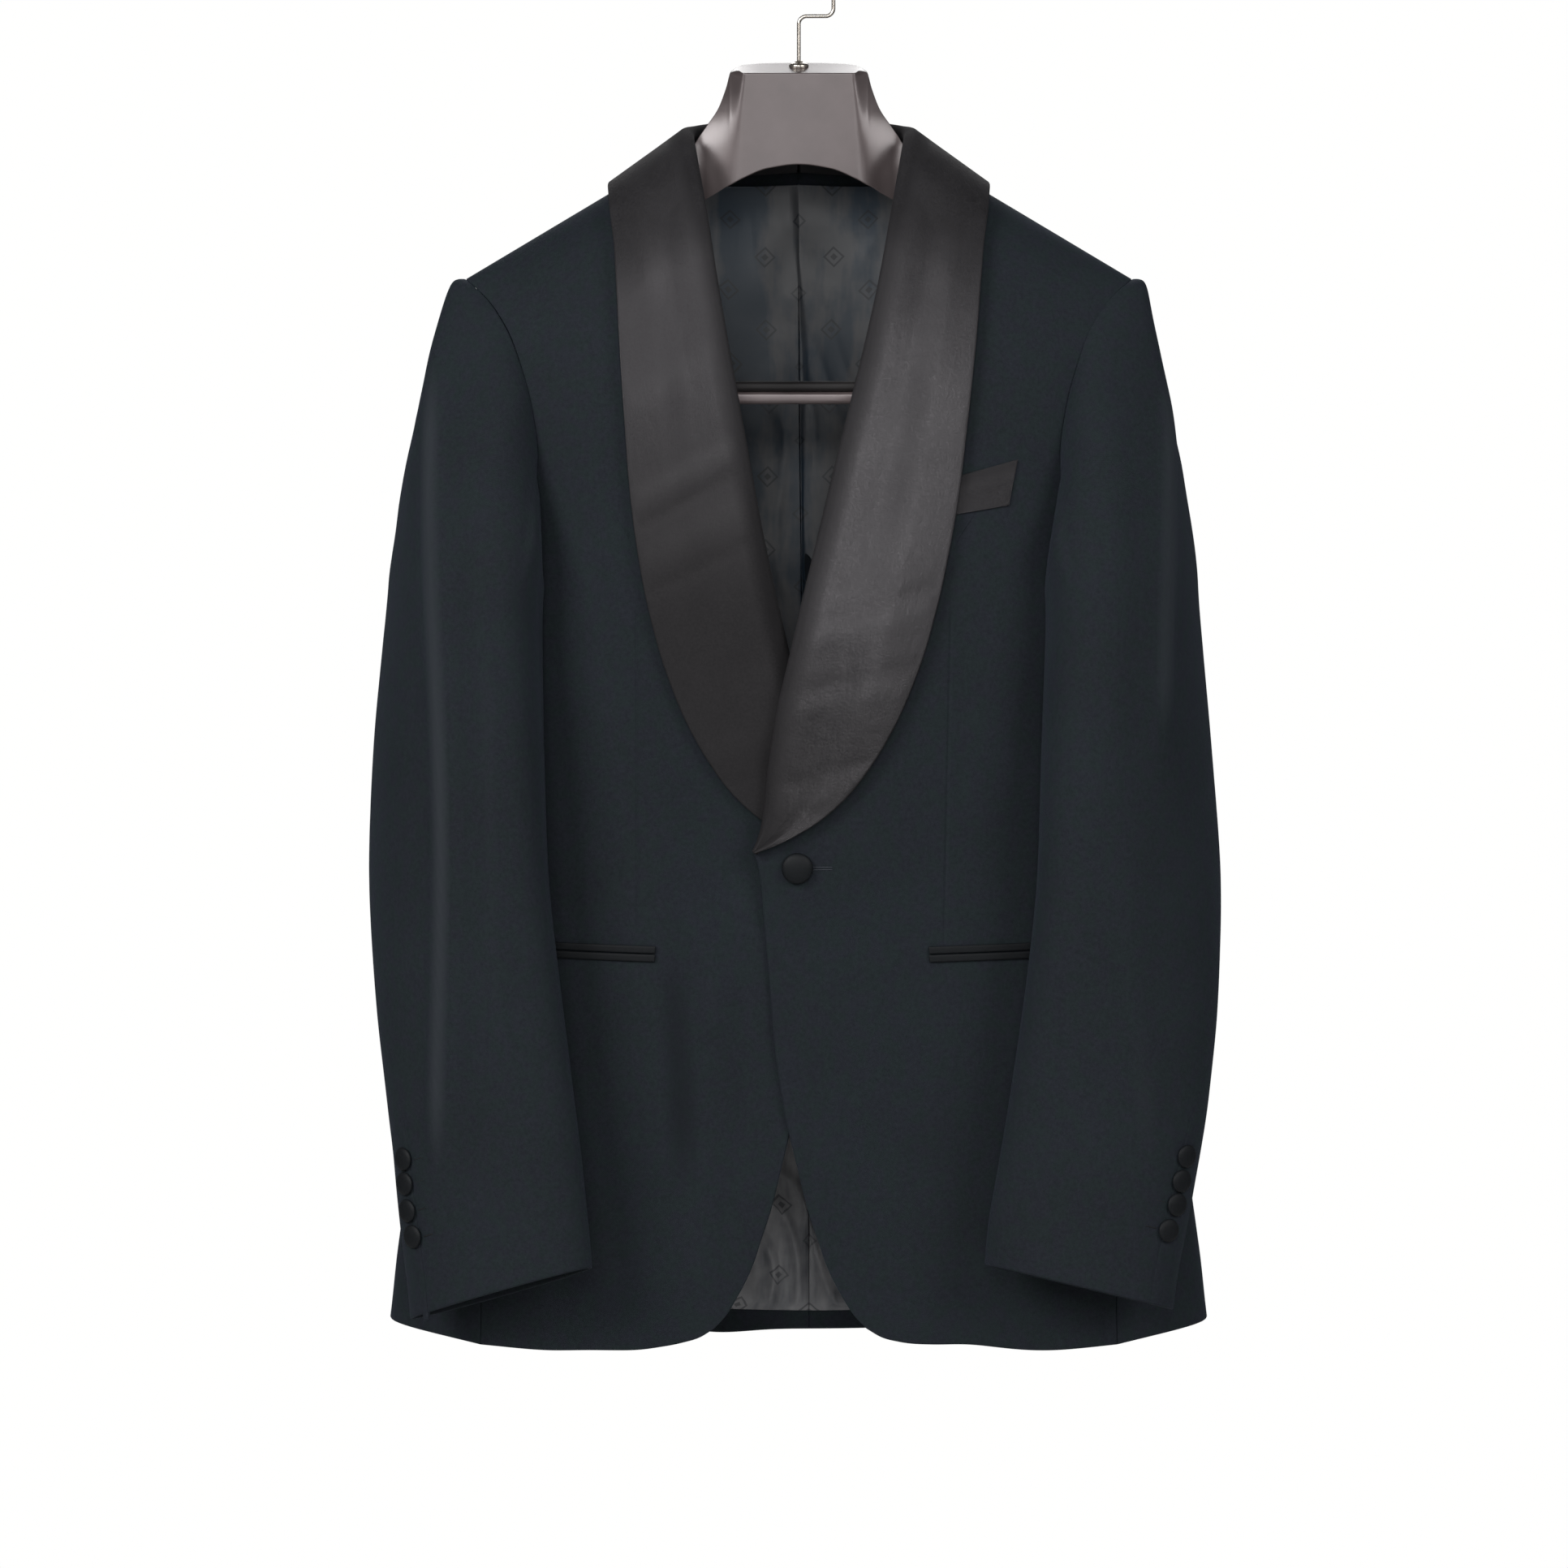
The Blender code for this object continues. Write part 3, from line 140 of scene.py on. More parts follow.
# %% A helper for node graphs
class Finish:
    """A Principled material and the nodes that feed it."""

    def __init__(self, name, colour, roughness, **sockets):
        self.material = bpy.data.materials.new(name)
        self.material.use_nodes = True
        self.tree = self.material.node_tree
        self.shader = self.tree.nodes["Principled BSDF"]
        self.shader.inputs["Base Color"].default_value = (*colour, 1)
        self.shader.inputs["Roughness"].default_value = roughness
        self.material.diffuse_color = (*colour, 1)
        for socket, value in sockets.items():
            self.shader.inputs[socket.replace("_", " ")].default_value = value

    def add(self, kind, *links, **settings):
        """A node of a kind, with its inputs linked or set in order and its settings made."""
        node = self.tree.nodes.new("ShaderNode" + kind)
        for key, value in settings.items():
            setattr(node, key, value)
        for socket, value in zip(node.inputs, links):
            if isinstance(value, bpy.types.NodeSocket):
                self.tree.links.new(value, socket)
            else:
                socket.default_value = value
        return node

    def maths(self, what, *values):
        return self.add("Math", *values, operation=what).outputs[0]

    def plus(self, *values):
        return self.maths("ADD", *values)

    def times(self, *values):
        return self.maths("MULTIPLY", *values)

    def feed(self, socket, value):
        self.tree.links.new(value, self.shader.inputs[socket])

    def cloth(self):
        """U and V of the piece, in metres of cloth."""
        return self.add("SeparateXYZ", self.add("UVMap", uv_map="cloth").outputs[0]).outputs[:2]

    def thread(self, along, pitch):
        """A round thread profile repeated at a pitch in metres: the sine of the place."""
        return self.maths("SINE", self.times(along, 2 * pi / pitch))

    def floats(self):
        """The slanting ribs of satin."""
        u, v = self.cloth()
        return self.thread(self.plus(u, self.times(v, 0.35)), SATIN_PITCH)

    def streaks(self, across, down):
        """The place on the cloth, stretched so that a noise of scale 1 changes so often in a metre."""
        u, v = self.cloth()
        return self.add("CombineXYZ", self.times(u, across), self.times(v, down)).outputs[0]

    def crest(self):
        """How far the cloth stands up in a fold, in millimetres."""
        return self.add("Attribute", attribute_name="crest").outputs["Fac"]

    def noise(self, where, scale, detail=3.0, roughness=0.5):
        node = self.add("TexNoise", where)
        node.inputs["Scale"].default_value = scale
        node.inputs["Detail"].default_value = detail
        node.inputs["Roughness"].default_value = roughness
        return node.outputs[0]

    def place(self):
        return self.add("TexCoord").outputs["Object"]

    def place_xyz(self):
        return self.add("SeparateXYZ", self.place()).outputs

    def blend(self, share, low, high):
        """A colour between two, by a share."""
        node = self.add("Mix", data_type="RGBA")
        self.tree.links.new(share, node.inputs[0])
        for socket, colour in ((node.inputs[6], low), (node.inputs[7], high)):
            if isinstance(colour, bpy.types.NodeSocket):
                self.tree.links.new(colour, socket)
            else:
                socket.default_value = (*colour, 1)
        return node.outputs[2]

    def spread(self, value, low, high, to_low=0.0, to_high=1.0):
        """A value's range stretched to another range."""
        return self.add("MapRange", value, low, high, to_low, to_high).outputs[0]

    def mottle(self, noise, dark, light):
        """The middle of a noise spread between two colours."""
        return self.blend(self.spread(noise, 0.3, 0.7), dark, light)

    def vary_roughness(self, noise, least, most):
        self.feed("Roughness", self.spread(noise, 0.3, 0.7, least, most))

    def relief(self, height, distance, strength=1.0):
        bump = self.add("Bump")
        bump.inputs["Strength"].default_value = strength
        bump.inputs["Distance"].default_value = distance
        self.tree.links.new(height, bump.inputs["Height"])
        self.feed("Normal", bump.outputs[0])


# metres from thread to thread, and half the repeat of the lining's figure
WOOL_PITCH, SATIN_PITCH, LINING_PITCH, LOZENGE = 0.00062, 0.00048, 0.0004, 0.024
print("threads of wool in a centimetre:", round(0.01 / WOOL_PITCH))


# %% Wool
def wool_finish():
    """Plain weave of mixed dark yarns: crossing sines for the threads, noise for the mixed shade. The crests
    of folds are painted lighter as a painted highlight, and the hollows darker as painted shade."""
    f = Finish("wool", (0.0136, 0.0172, 0.0228), 0.80, Sheen_Weight=0.05, Sheen_Roughness=0.45,
               Specular_IOR_Level=0.12)
    f.shader.inputs["Sheen Tint"].default_value = (0.6, 0.72, 1.0, 1)
    u, v = f.cloth()
    weave = f.times(f.thread(u, WOOL_PITCH), f.thread(v, WOOL_PITCH))
    yarn, fleck = f.noise(f.place(), 1500.0, 2.0), f.noise(f.place(), 420.0, 2.0)
    cloud = f.noise(f.place(), 14.0, 3.0)
    shade = f.plus(f.times(f.plus(yarn, fleck), 0.45), f.times(cloud, 0.35))
    hue = f.spread(f.noise(f.place(), 110.0, 2.0), 0.4, 0.6)
    dark = f.blend(hue, (0.0096, 0.0138, 0.0156), (0.0106, 0.0124, 0.0170))
    light = f.blend(hue, (0.0156, 0.0224, 0.0248), (0.0172, 0.0206, 0.0270))
    cloth = f.blend(f.spread(shade, 0.45, 0.8), dark, light)
    # painted highlight: the base colour is lightened on fold crests
    cloth = f.blend(f.spread(f.crest(), 1.0, 4.0, 0.0, 0.8), cloth, (0.0300, 0.0345, 0.0410))
    # painted shade: the base colour is darkened in fold hollows
    cloth = f.blend(f.spread(f.crest(), -0.6, -3.6, 0.0, 0.6), cloth, (0.0070, 0.0088, 0.0115))
    f.feed("Base Color", cloth)
    f.vary_roughness(cloud, 0.74, 0.84)
    f.relief(f.plus(weave, f.times(yarn, 1.5)), 0.00006, 0.5)
    return f.material


WOOL = wool_finish()
print(WOOL.name)


# %% Satin
def satin_finish(name, specular, top, foot, painted_shade_most, dull):
    """Long floats of warp: fine ribs one way, a soft cloudiness, and a low roughness that is lost where the
    cloth is stretched round its fold, at u = 0, and where it turns over the shoulder. From a top to a foot
    height the base colour is blended towards a near black painted shade, up to a share painted_shade_most,
    and the cloth gets duller. Fold crests get a painted highlight and fold hollows a painted shade."""
    f = Finish(name, (0.0085, 0.0082, 0.0092), 0.38, Specular_IOR_Level=specular)
    f.shader.inputs["Specular Tint"].default_value = (1.0, 0.955, 0.99, 1)
    u, _ = f.cloth()
    x, _, z = f.place_xyz()
    cloud, grain = f.noise(f.place(), 40.0, 4.0, 0.6), f.noise(f.place(), 620.0, 2.0)
    mixed = f.plus(f.times(cloud, 0.5), f.times(grain, 0.5))
    dye = f.blend(f.spread(mixed, 0.38, 0.62), (0.0050, 0.0048, 0.0056), (0.0124, 0.0120, 0.0132))
    # painted highlight: the base colour is lightened on fold crests
    dye = f.blend(f.spread(f.crest(), 0.05, 0.6, 0.0, 0.8), dye, (0.0300, 0.0292, 0.0305))
    # painted shade: the base colour is darkened in fold hollows
    dye = f.blend(f.spread(f.crest(), -0.05, -0.5, 0.0, 0.9), dye, (0.0010, 0.0010, 0.0012))
    # painted shade: from the top to the foot height the base colour is blended towards near black
    painted_shade_below = f.spread(z, top, foot, 0.0, painted_shade_most)
    shaded = f.mottle(grain, (0.0008, 0.0008, 0.0010), (0.0024, 0.0024, 0.0028))
    f.feed("Base Color", f.blend(painted_shade_below, dye, shaded))
    down = f.plus(z, f.times(f.maths("ABSOLUTE", x), 0.56))
    over_shoulder = f.spread(down, -0.152, -0.118, 0.0, 0.34)
    at_fold = f.spread(f.maths("ABSOLUTE", f.plus(u, -0.001)), 0.003, 0.013, 0.34, 0.0)
    rough = f.spread(f.plus(f.times(cloud, 0.5), grain), 0.5, 1.0, 0.30, 0.46)
    rough = f.plus(rough, f.times(painted_shade_below, dull))
    f.feed("Roughness", f.plus(f.plus(rough, at_fold), over_shoulder))
    slub = f.noise(f.streaks(300.0, 60.0), 1.0)
    height = f.plus(f.times(f.floats(), 0.35), f.plus(grain, f.times(cloud, 5.0)))
    f.relief(f.plus(height, f.times(slub, 1.5)), 0.00014, 0.8)
    return f.material


# The two leaves are cut as a pair. Both get a painted shade low down, the left one from higher up and
# darker, and the left one is also duller below.
SATIN = {LEFT: satin_finish("satin_left", 0.54, -0.27, -0.42, 0.95, 0.40),
         RIGHT: satin_finish("satin", 0.50, -0.42, -0.52, 0.7, 0.06)}
print(SATIN[LEFT].name, SATIN[RIGHT].name)


# %% Button cloth
def button_finish():
    """The same satin drawn tight over a dark shell: deeper in colour, its ribs nearly flat."""
    f = Finish("button_satin", (0.0048, 0.0058, 0.0072), 0.56, Specular_IOR_Level=0.19)
    grain = f.noise(f.place(), 900.0, 2.0)
    f.feed("Base Color", f.mottle(grain, (0.0038, 0.0048, 0.0060), (0.0062, 0.0076, 0.0092)))
    f.vary_roughness(grain, 0.50, 0.60)
    f.relief(f.plus(f.times(f.floats(), 0.35), grain), 0.00006, 0.5)
    return f.material


BUTTON_SATIN = button_finish()
print(BUTTON_SATIN.name)


# %% Lining
def lining_finish():
    """Shot lining: blue yarns one way and grey the other, in long streaks down the cloth, with a small
    lozenge in a frame woven a shade darker. Towards the open hem both tones are painted lighter, as painted
    light."""
    f = Finish("lining", (0.05, 0.055, 0.065), 0.42, Specular_IOR_Level=0.7)
    u, v = f.cloth()
    across, down = [f.maths("PINGPONG", f.maths(way, u, v), LOZENGE) for way in ("ADD", "SUBTRACT")]
    reach = f.maths("MINIMUM", across, down)
    frame_line = f.times(f.spread(reach, 0.0166, 0.0171), f.spread(reach, 0.0188, 0.0183))
    figure = f.maths("MAXIMUM", frame_line, f.spread(reach, 0.0213, 0.0218))
    streak, cloud = f.noise(f.streaks(34.0, 7.0), 1.0, 4.0, 0.6), f.noise(f.place(), 26.0, 4.0, 0.6)
    x, _, z = f.place_xyz()
    band = f.spread(f.maths("ABSOLUTE", f.plus(x, 0.036)), 0.006, 0.018, 0.16, 0.0)
    shot = f.plus(f.times(streak, 0.7), f.times(cloud, 0.3))
    shot = f.plus(shot, f.times(band, f.spread(z, -0.70, -0.62)))
    # painted light: below 0.70 m down, where the hem is open, both tones of the lining are painted lighter
    low = f.spread(z, -0.70, -0.76)
    pale = f.blend(low, (0.080, 0.082, 0.088), (0.150, 0.150, 0.158))
    blue = f.blend(low, (0.020, 0.034, 0.052), (0.050, 0.054, 0.064))
    base = f.blend(f.spread(shot, 0.45, 0.56), pale, blue)
    f.feed("Base Color", f.blend(f.times(figure, 0.75), base, (0.009, 0.011, 0.016)))
    f.vary_roughness(cloud, 0.32, 0.48)
    f.relief(f.plus(f.thread(v, LINING_PITCH), f.times(cloud, 8.0)), 0.00006, 0.5)
    return f.material


LINING = lining_finish()
print(LINING.name)


# %% Lacquer, metal, flock and thread
def scaled(colour, share):
    return tuple(share * c for c in colour)


def lacquer_finish(name, share):
    """Pearly brown lacquer: a little metal in the base, a clear coat and a faint orange peel. A share sets
    how light the brown is."""
    f = Finish(name, scaled((0.096, 0.077, 0.077), share), 0.36, Metallic=0.35, Coat_Weight=0.5,
               Coat_Roughness=0.22)
    pearl = f.noise(f.place(), 28.0, 3.0)
    dark, light = scaled((0.080, 0.063, 0.063), share), scaled((0.114, 0.092, 0.092), share)
    f.feed("Base Color", f.mottle(pearl, dark, light))
    f.vary_roughness(pearl, 0.33, 0.42)
    f.relief(f.noise(f.place(), 420.0, 2.0), 0.00002, 0.25)
    return f.material


def metal_finish():
    """Plated wire with faint drawing marks along it."""
    f = Finish("hook_metal", (0.55, 0.50, 0.45), 0.24, Metallic=1.0)
    scratches = f.noise(f.place(), 700.0, 4.0, 0.7)
    f.feed("Base Color", f.mottle(scratches, (0.46, 0.42, 0.37), (0.62, 0.57, 0.51)))
    f.vary_roughness(scratches, 0.2, 0.34)
    f.relief(scratches, 0.00001, 0.4)
    return f.material


def flock_finish():
    """Short dark flock on the bar, which keeps trousers from sliding."""
    f = Finish("bar_grip", (0.014, 0.012, 0.012), 0.6, Sheen_Weight=0.1, Sheen_Roughness=0.4)
    pile = f.noise(f.place(), 1800.0, 3.0)
    f.feed("Base Color", f.mottle(pile, (0.010, 0.008, 0.009), (0.020, 0.017, 0.017)))
    f.vary_roughness(pile, 0.5, 0.7)
    f.relief(pile, 0.0001, 0.5)
    return f.material


def thread_finish(name, share):
    """Twisted silk thread of the buttonholes. A share sets how light it is."""
    f = Finish(name, scaled((0.005, 0.006, 0.008), share), 0.6, Specular_IOR_Level=0.3)
    x, _, z = f.place_xyz()
    twist = f.thread(f.plus(x, f.times(z, 0.6)), 0.0006)
    dark, light = scaled((0.003, 0.0035, 0.005), share), scaled((0.008, 0.009, 0.011), share)
    f.feed("Base Color", f.blend(f.spread(twist, -1.0, 1.0), dark, light))
    f.relief(twist, 0.00006, 0.6)
    return f.material


def floor_finish():
    """Pale matt paper with a faint fibre."""
    f = Finish("floor", (0.62, 0.62, 0.61), 0.9)
    f.feed("Base Color", f.mottle(f.noise(f.place(), 3.0, 3.0), (0.60, 0.60, 0.59), (0.64, 0.64, 0.63)))
    return f.material


# The bar's lacquer is a copy made 1.8 times lighter: painted light on a bar that hangs in the jacket's shade.
LACQUER, LIT_BAR_LACQUER = lacquer_finish("hanger_lacquer", 1.0), lacquer_finish("bar_lacquer_painted_light", 1.8)
METAL, FLOCK = metal_finish(), flock_finish()
THREAD, PALE_THREAD = thread_finish("thread", 1.0), thread_finish("pale_thread", 5.0)
floor_mesh.materials.append(floor_finish())
print(LACQUER.name, LIT_BAR_LACQUER.name, METAL.name, FLOCK.name, THREAD.name, PALE_THREAD.name)

# %% [markdown]
# ## The form that the cloth hangs on
#
# A jacket on a hanger keeps the shape it was pressed to: broad flat shoulders, a soft chest, a waist and
# a hem. That form is one formula. At each height it has a half width and a depth forward and behind, a
# level cut through it is a rounded box, and above the chest it closes to the shoulder line. Cloth is laid
# on it, and lifted or sunk along its normals.


# %% Reading tables of sizes (millimetres)
def hermite(t, start, stop, leave, arrive):
    """The cubic from start to stop that leaves and arrives at given rates."""
    return ((2 * t ** 3 - 3 * t ** 2 + 1) * start + (3 * t ** 2 - 2 * t ** 3) * stop
            + (t ** 3 - 2 * t ** 2 + t) * leave + (t ** 3 - t ** 2) * arrive)


def through(x, xs, ys, slopes):
    """A run of cubics through points with given slopes."""
    i = np.clip(np.searchsorted(xs, x) - 1, 0, len(xs) - 2)
    h = xs[i + 1] - xs[i]
    return hermite((x - xs[i]) / h, ys[i], ys[i + 1], h * slopes[i], h * slopes[i + 1])


def smooth(x, table, column=1):
    """A column of a table between its rows: a cubic through the rows with their mean slopes."""
    rows = table[np.argsort(table[:, 0])]
    xs, ys = rows[:, 0], rows[:, column]
    return through(np.clip(x, xs[0], xs[-1]), xs, ys, np.gradient(ys, xs))


def ease(t):
    """0 to 1 with level ends: 3t^2 - 2t^3."""
    t = np.clip(t, 0.0, 1.0)
    return t * t * (3.0 - 2.0 * t)


def bell(distance, width):
    """1 at no distance, falling away as a Gaussian of a width."""
    return np.exp(-(distance / width) ** 2)


def window(z, top, foot, run):
    """1 between a top and a foot height, eased in and out over a run."""
    return ease((top - z) / run) * ease((z - foot) / run)


def unit(v):
    """Vectors brought to length 1."""
    return v / np.linalg.norm(v, axis=-1, keepdims=True)


def swell(a, b, seed, count=5):
    """A calm uneven wave of two coordinates: a sum of sines in seeded directions, about -1 to 1."""
    draw = np.random.default_rng(seed)
    total = 0.0
    for turn, phase, scale in zip(draw.uniform(0, pi, count), draw.uniform(0, 2 * pi, count),
                                  draw.uniform(0.6, 1.5, count)):
        total = total + np.sin(scale * (a * cos(turn) + b * sin(turn)) + phase)
    return total / count ** 0.5 / 1.3


def fold(x, z, height, place, width, top, foot, run, lean=0.0, pivot=0.0, wave=0.0, pitch=1.0):
    """One hanging fold: a bell across and a window down. Its line leans about a pivot height, and waves
    with a pitch."""
    line = place + lean * (z - pivot) + wave * np.sin(z / pitch)
    return height * bell(x - line, width) * window(z, top, foot, run)


print("ease at a quarter:", float(ease(0.25)))


# %% The body form
NECK_X, NECK_Z = 80.0, -124.0
TIP_X, TIP_Z = 213.0, -203.0
SLOPE = (NECK_Z - TIP_Z) / (TIP_X - NECK_X)
# height, half width, depth forward and depth behind
BODY = np.array([
    (-960, 274, 66, 61), (-900, 268, 68, 60), (-800, 255, 71, 58), (-700, 240, 75, 56), (-576, 222, 80, 58),
    (-470, 214, 88, 70), (-388, 212, 91, 75), (-300, 216, 90, 76), (-203, 224, 86, 74), (-60, 230, 84, 72),
], dtype=float)


def shoulder_z(x):
    """Height of the shoulder line: straight down from the neck point to the tip."""
    return NECK_Z - (np.abs(x) - NECK_X) * SLOPE


def fullness(x, z):
    """2t - t^2 of the drop below the shoulder line over 150 mm: 0 on the line, 1 on the chest."""
    t = (shoulder_z(x) - z) / 150.0
    return np.where(t > 0, 2 * np.minimum(t, 1) - np.minimum(t, 1) ** 2, 2 * t)


def middle_y(x, z):
    """The mid plane, drawn forward by the square of the distance to the shoulder tip."""
    kept = 1.0 - 0.6 * ease((shoulder_z(x) - z) / 200.0)
    return -25.0 * (x / TIP_X) ** 2 * kept


def body_y(x, z, face):
    """Depth of the front (face -1) or the back (+1): half the depth times the root of what the rounded
    box and the fullness leave of it."""
    depth = smooth(z, BODY, 2 if face < 0 else 3)
    rest = np.clip(1.0 - (np.abs(x) / smooth(z, BODY, 1)) ** 3, 0, 1)
    return middle_y(x, z) + face * depth * np.sqrt(rest * np.clip(fullness(x, z), 0, 1))


def body_level(p):
    """Below 0 inside the form, 0 on it, above 0 outside."""
    x, y, z = p[..., 0], p[..., 1], p[..., 2]
    off = y - middle_y(x, z)
    depth = np.where(off < 0, smooth(z, BODY, 2), smooth(z, BODY, 3))
    rest = 1.0 - (np.abs(x) / smooth(z, BODY, 1)) ** 3
    return (off / depth) ** 2 - rest * fullness(x, z)


def body_slope(p):
    """Gradient of body_level, by small steps along each axis."""
    return np.stack([(body_level(p + a) - body_level(p - a)) / 0.1 for a in np.eye(3) * 0.05], axis=-1)


def body_normal(p):
    return unit(body_slope(p))


def body_distance(p):
    """How far points lie outside the form: the level over its slope."""
    return body_level(p) / np.linalg.norm(body_slope(p), axis=-1)


def settle(p, lift, only_out=False, only_in=False):
    """Move points along the normals to a lift above the form, or only those below or above it."""
    for _ in range(8):
        gap = lift - body_distance(p)
        if only_out:
            gap = np.maximum(gap, 0.0)
        if only_in:
            gap = np.minimum(gap, 0.0)
        p = p + body_normal(p) * np.clip(gap, -12, 12)[..., None]
    return p


print("chest depth:", float(body_y(0.0, -388.0, 1) - body_y(0.0, -388.0, -1)), "mm")

# %% How the closed fronts lie on each other
RISE = {LEFT: -3.3, RIGHT: 6.2}
# height, share of the rise
LAP = np.array([
    (-960, 0), (-880, 0), (-830, 0.05), (-790, 0.2), (-740, 0.44), (-680, 0.46), (-625, 0.48), (-572, 1.0),
    (-500, 1.0), (-418, 1.0), (-370, 0.4), (-320, 0), (-200, 0), (-60, 0),
], dtype=float)


def lap_rise(side, x, z):
    """How far a front moves out (right) or in (left) to close: all of it near the middle, none at the side."""
    near = 1.0 - ease((np.abs(x) - 38.0) / 74.0)
    return RISE[side] * near * smooth(z, LAP)


def sway(x, z):
    """Sideways hang of the fronts: 6 mm to the left at the bottom, none at the side seams."""
    return -6.0 * ease((-150.0 - z) / 270.0) * np.clip(1.0 - (x / 165.0) ** 2, 0, 1)


# Girth: arc length round a middling level section, from the centre front to the centre back.
TURN = np.linspace(0.0, pi, 721)
SECTION = np.stack([215.0 * np.sin(TURN) ** (2 / 3), -np.cos(TURN) * np.where(TURN < pi / 2, 85.0, 66.0)], -1)
GIRTH = np.concatenate([[0.0], np.cumsum(np.linalg.norm(np.diff(SECTION, axis=0), axis=1))])


def girth_at(x, z, face):
    """Girth of a point of the front or back, from its distance to the middle."""
    turn = np.arcsin(np.clip(np.abs(x) / smooth(z, BODY, 1), 0, 1) ** 1.5)
    return np.interp(turn if face < 0 else pi - turn, TURN, GIRTH)


def girth_point(side, girth, z):
    """The point of the form at a girth and a height."""
    turn = np.interp(girth, GIRTH, TURN)
    x = smooth(z, BODY, 1) * np.sin(turn) ** (2 / 3)
    depth = np.where(turn < pi / 2, smooth(z, BODY, 2), smooth(z, BODY, 3))
    y = middle_y(x, z) - np.cos(turn) * depth * np.sqrt(np.clip(fullness(x, z), 0, 1))
    return np.stack([side * x, y, z + 0 * x], axis=-1)


print("half girth:", round(float(GIRTH[-1])), "mm")


# %% [markdown]
# ## Cloth with thickness
#
# A panel is a sheet some two millimetres thick with rolled edges. Solidify could give a flat cut edge, but
# here the thickness is part of the formula: half the thickness times a quarter circle that runs from
# nothing at the edge to whole a little way in. Outer and inner face then meet in one shared edge, and two
# panels that meet at a seam leave the fine groove that a pressed seam has.


# %% Cloth walls
def lengths(grid, axis):
    """Distance of each point from the first line of the grid along an axis, and from the last."""
    step = np.linalg.norm(np.diff(grid, axis=axis), axis=-1)
    start = np.cumsum(np.concatenate([np.zeros_like(np.take(step, [0], axis)), step], axis), axis)
    return start, np.take(start, [-1], axis) - start


def rolled(grid, widths):
    """Share of the full thickness at each point: sqrt(1 - (1 - d/w)^2) of the distance d to each edge,
    for the widths at the top, bottom, first and last edge."""
    down, across = lengths(grid, 0), lengths(grid, 1)
    share = np.ones(grid.shape[:2])
    for distance, width in zip((*down, *across), widths):
        share = share * np.sqrt(np.clip(1.0 - (1.0 - np.clip(distance / width, 0, 1)) ** 2, 0, 1))
    return share


def grid_normals(grid, closed=False):
    """Normals of a grid from its own lines, the first axis closed where asked."""
    along = np.roll(grid, -1, 0) - np.roll(grid, 1, 0) if closed else np.gradient(grid, axis=0)
    return unit(np.cross(along, np.gradient(grid, axis=1)))


def put(name, points, faces, material, node=None, uv=None, crest=None):
    """A named mesh from millimetres. It rides on the one body, and takes the place of its solid. uv is each
    point's place on the cloth and crest the height of its folds, in millimetres too."""
    mesh = bpy.data.meshes.new(name)
    mesh.from_pydata((points * MM).tolist(), [], faces)
    if uv is not None:
        corner = np.empty(len(mesh.loops), dtype=np.int32)
        mesh.loops.foreach_get("vertex_index", corner)
        mesh.uv_layers.new(name="cloth").data.foreach_set("uv", (uv[corner] * MM).astype(np.float32).ravel())
    if crest is not None:
        mesh.attributes.new("crest", "FLOAT", "POINT").data.foreach_set("value", crest.astype(np.float32))
    mesh.materials.append(material)
    mesh.shade_smooth()
    obj = bpy.data.objects.new(name, mesh)
    bpy.context.scene.collection.objects.link(obj)
    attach(obj, "root")
    if node:
        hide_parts(node)
    return obj


def inside_out(points, faces):
    """Whether the signed volume under four-sided faces is below 0."""
    a, b, c, d = np.moveaxis(points[faces] - points.mean(axis=0), 1, 0)
    return np.einsum("ij,ij->", a, np.cross(b, c)) + np.einsum("ij,ij->", a, np.cross(c, d)) < 0


def cloth_wall(name, middle, normals, thickness, widths, material, uv=None, crest=None):
    """A closed wall in place of the solid of its name: the middle grid moved out and in by half the
    thickness times its rolled share. Both faces share the boundary, where the share is 0."""
    rows, columns = middle.shape[:2]
    half = rolled(middle, widths)[..., None] * normals * thickness / 2
    outer = np.arange(rows * columns).reshape(rows, columns)
    inner = outer.copy()
    inner[1:-1, 1:-1] = rows * columns + np.arange((rows - 2) * (columns - 2)).reshape(rows - 2, columns - 2)
    quads = [np.stack([index[:-1, :-1], index[1:, :-1], index[1:, 1:], index[:-1, 1:]], -1).reshape(-1, 4)
             for index in (outer, inner)]
    faces = np.concatenate([quads[0], quads[1][:, ::-1]])
    points = np.concatenate([(middle + half).reshape(-1, 3), (middle - half)[1:-1, 1:-1].reshape(-1, 3)])
    if inside_out(points, faces):
        faces = faces[:, ::-1]
    if uv is None:
        uv = np.stack([lengths(middle, 1)[0], lengths(middle, 0)[0]], axis=-1)
    uv = np.concatenate([uv.reshape(-1, 2), uv[1:-1, 1:-1].reshape(-1, 2)])
    if crest is not None:
        crest = np.concatenate([crest.ravel(), crest[1:-1, 1:-1].ravel()])
    return put(name, points, faces.tolist(), material, name, uv, crest)


def marks(length, step, near=(0.0, 0.15, 0.45, 1.0, 1.9, 3.0)):
    """Places along a length as shares: close together at both ends, then in even steps."""
    near = np.array(near)
    inner = np.linspace(near[-1], length - near[-1], max(int((length - 2 * near[-1]) / step), 2) + 1)
    return np.concatenate([near[:-1], inner, length - near[-2::-1]]) / length


def declare(middle):
    """Measure a piece's lengths down and across from its formula; nothing is done with them."""
    down, across = lengths(middle, 0)[0], lengths(middle, 1)[0]


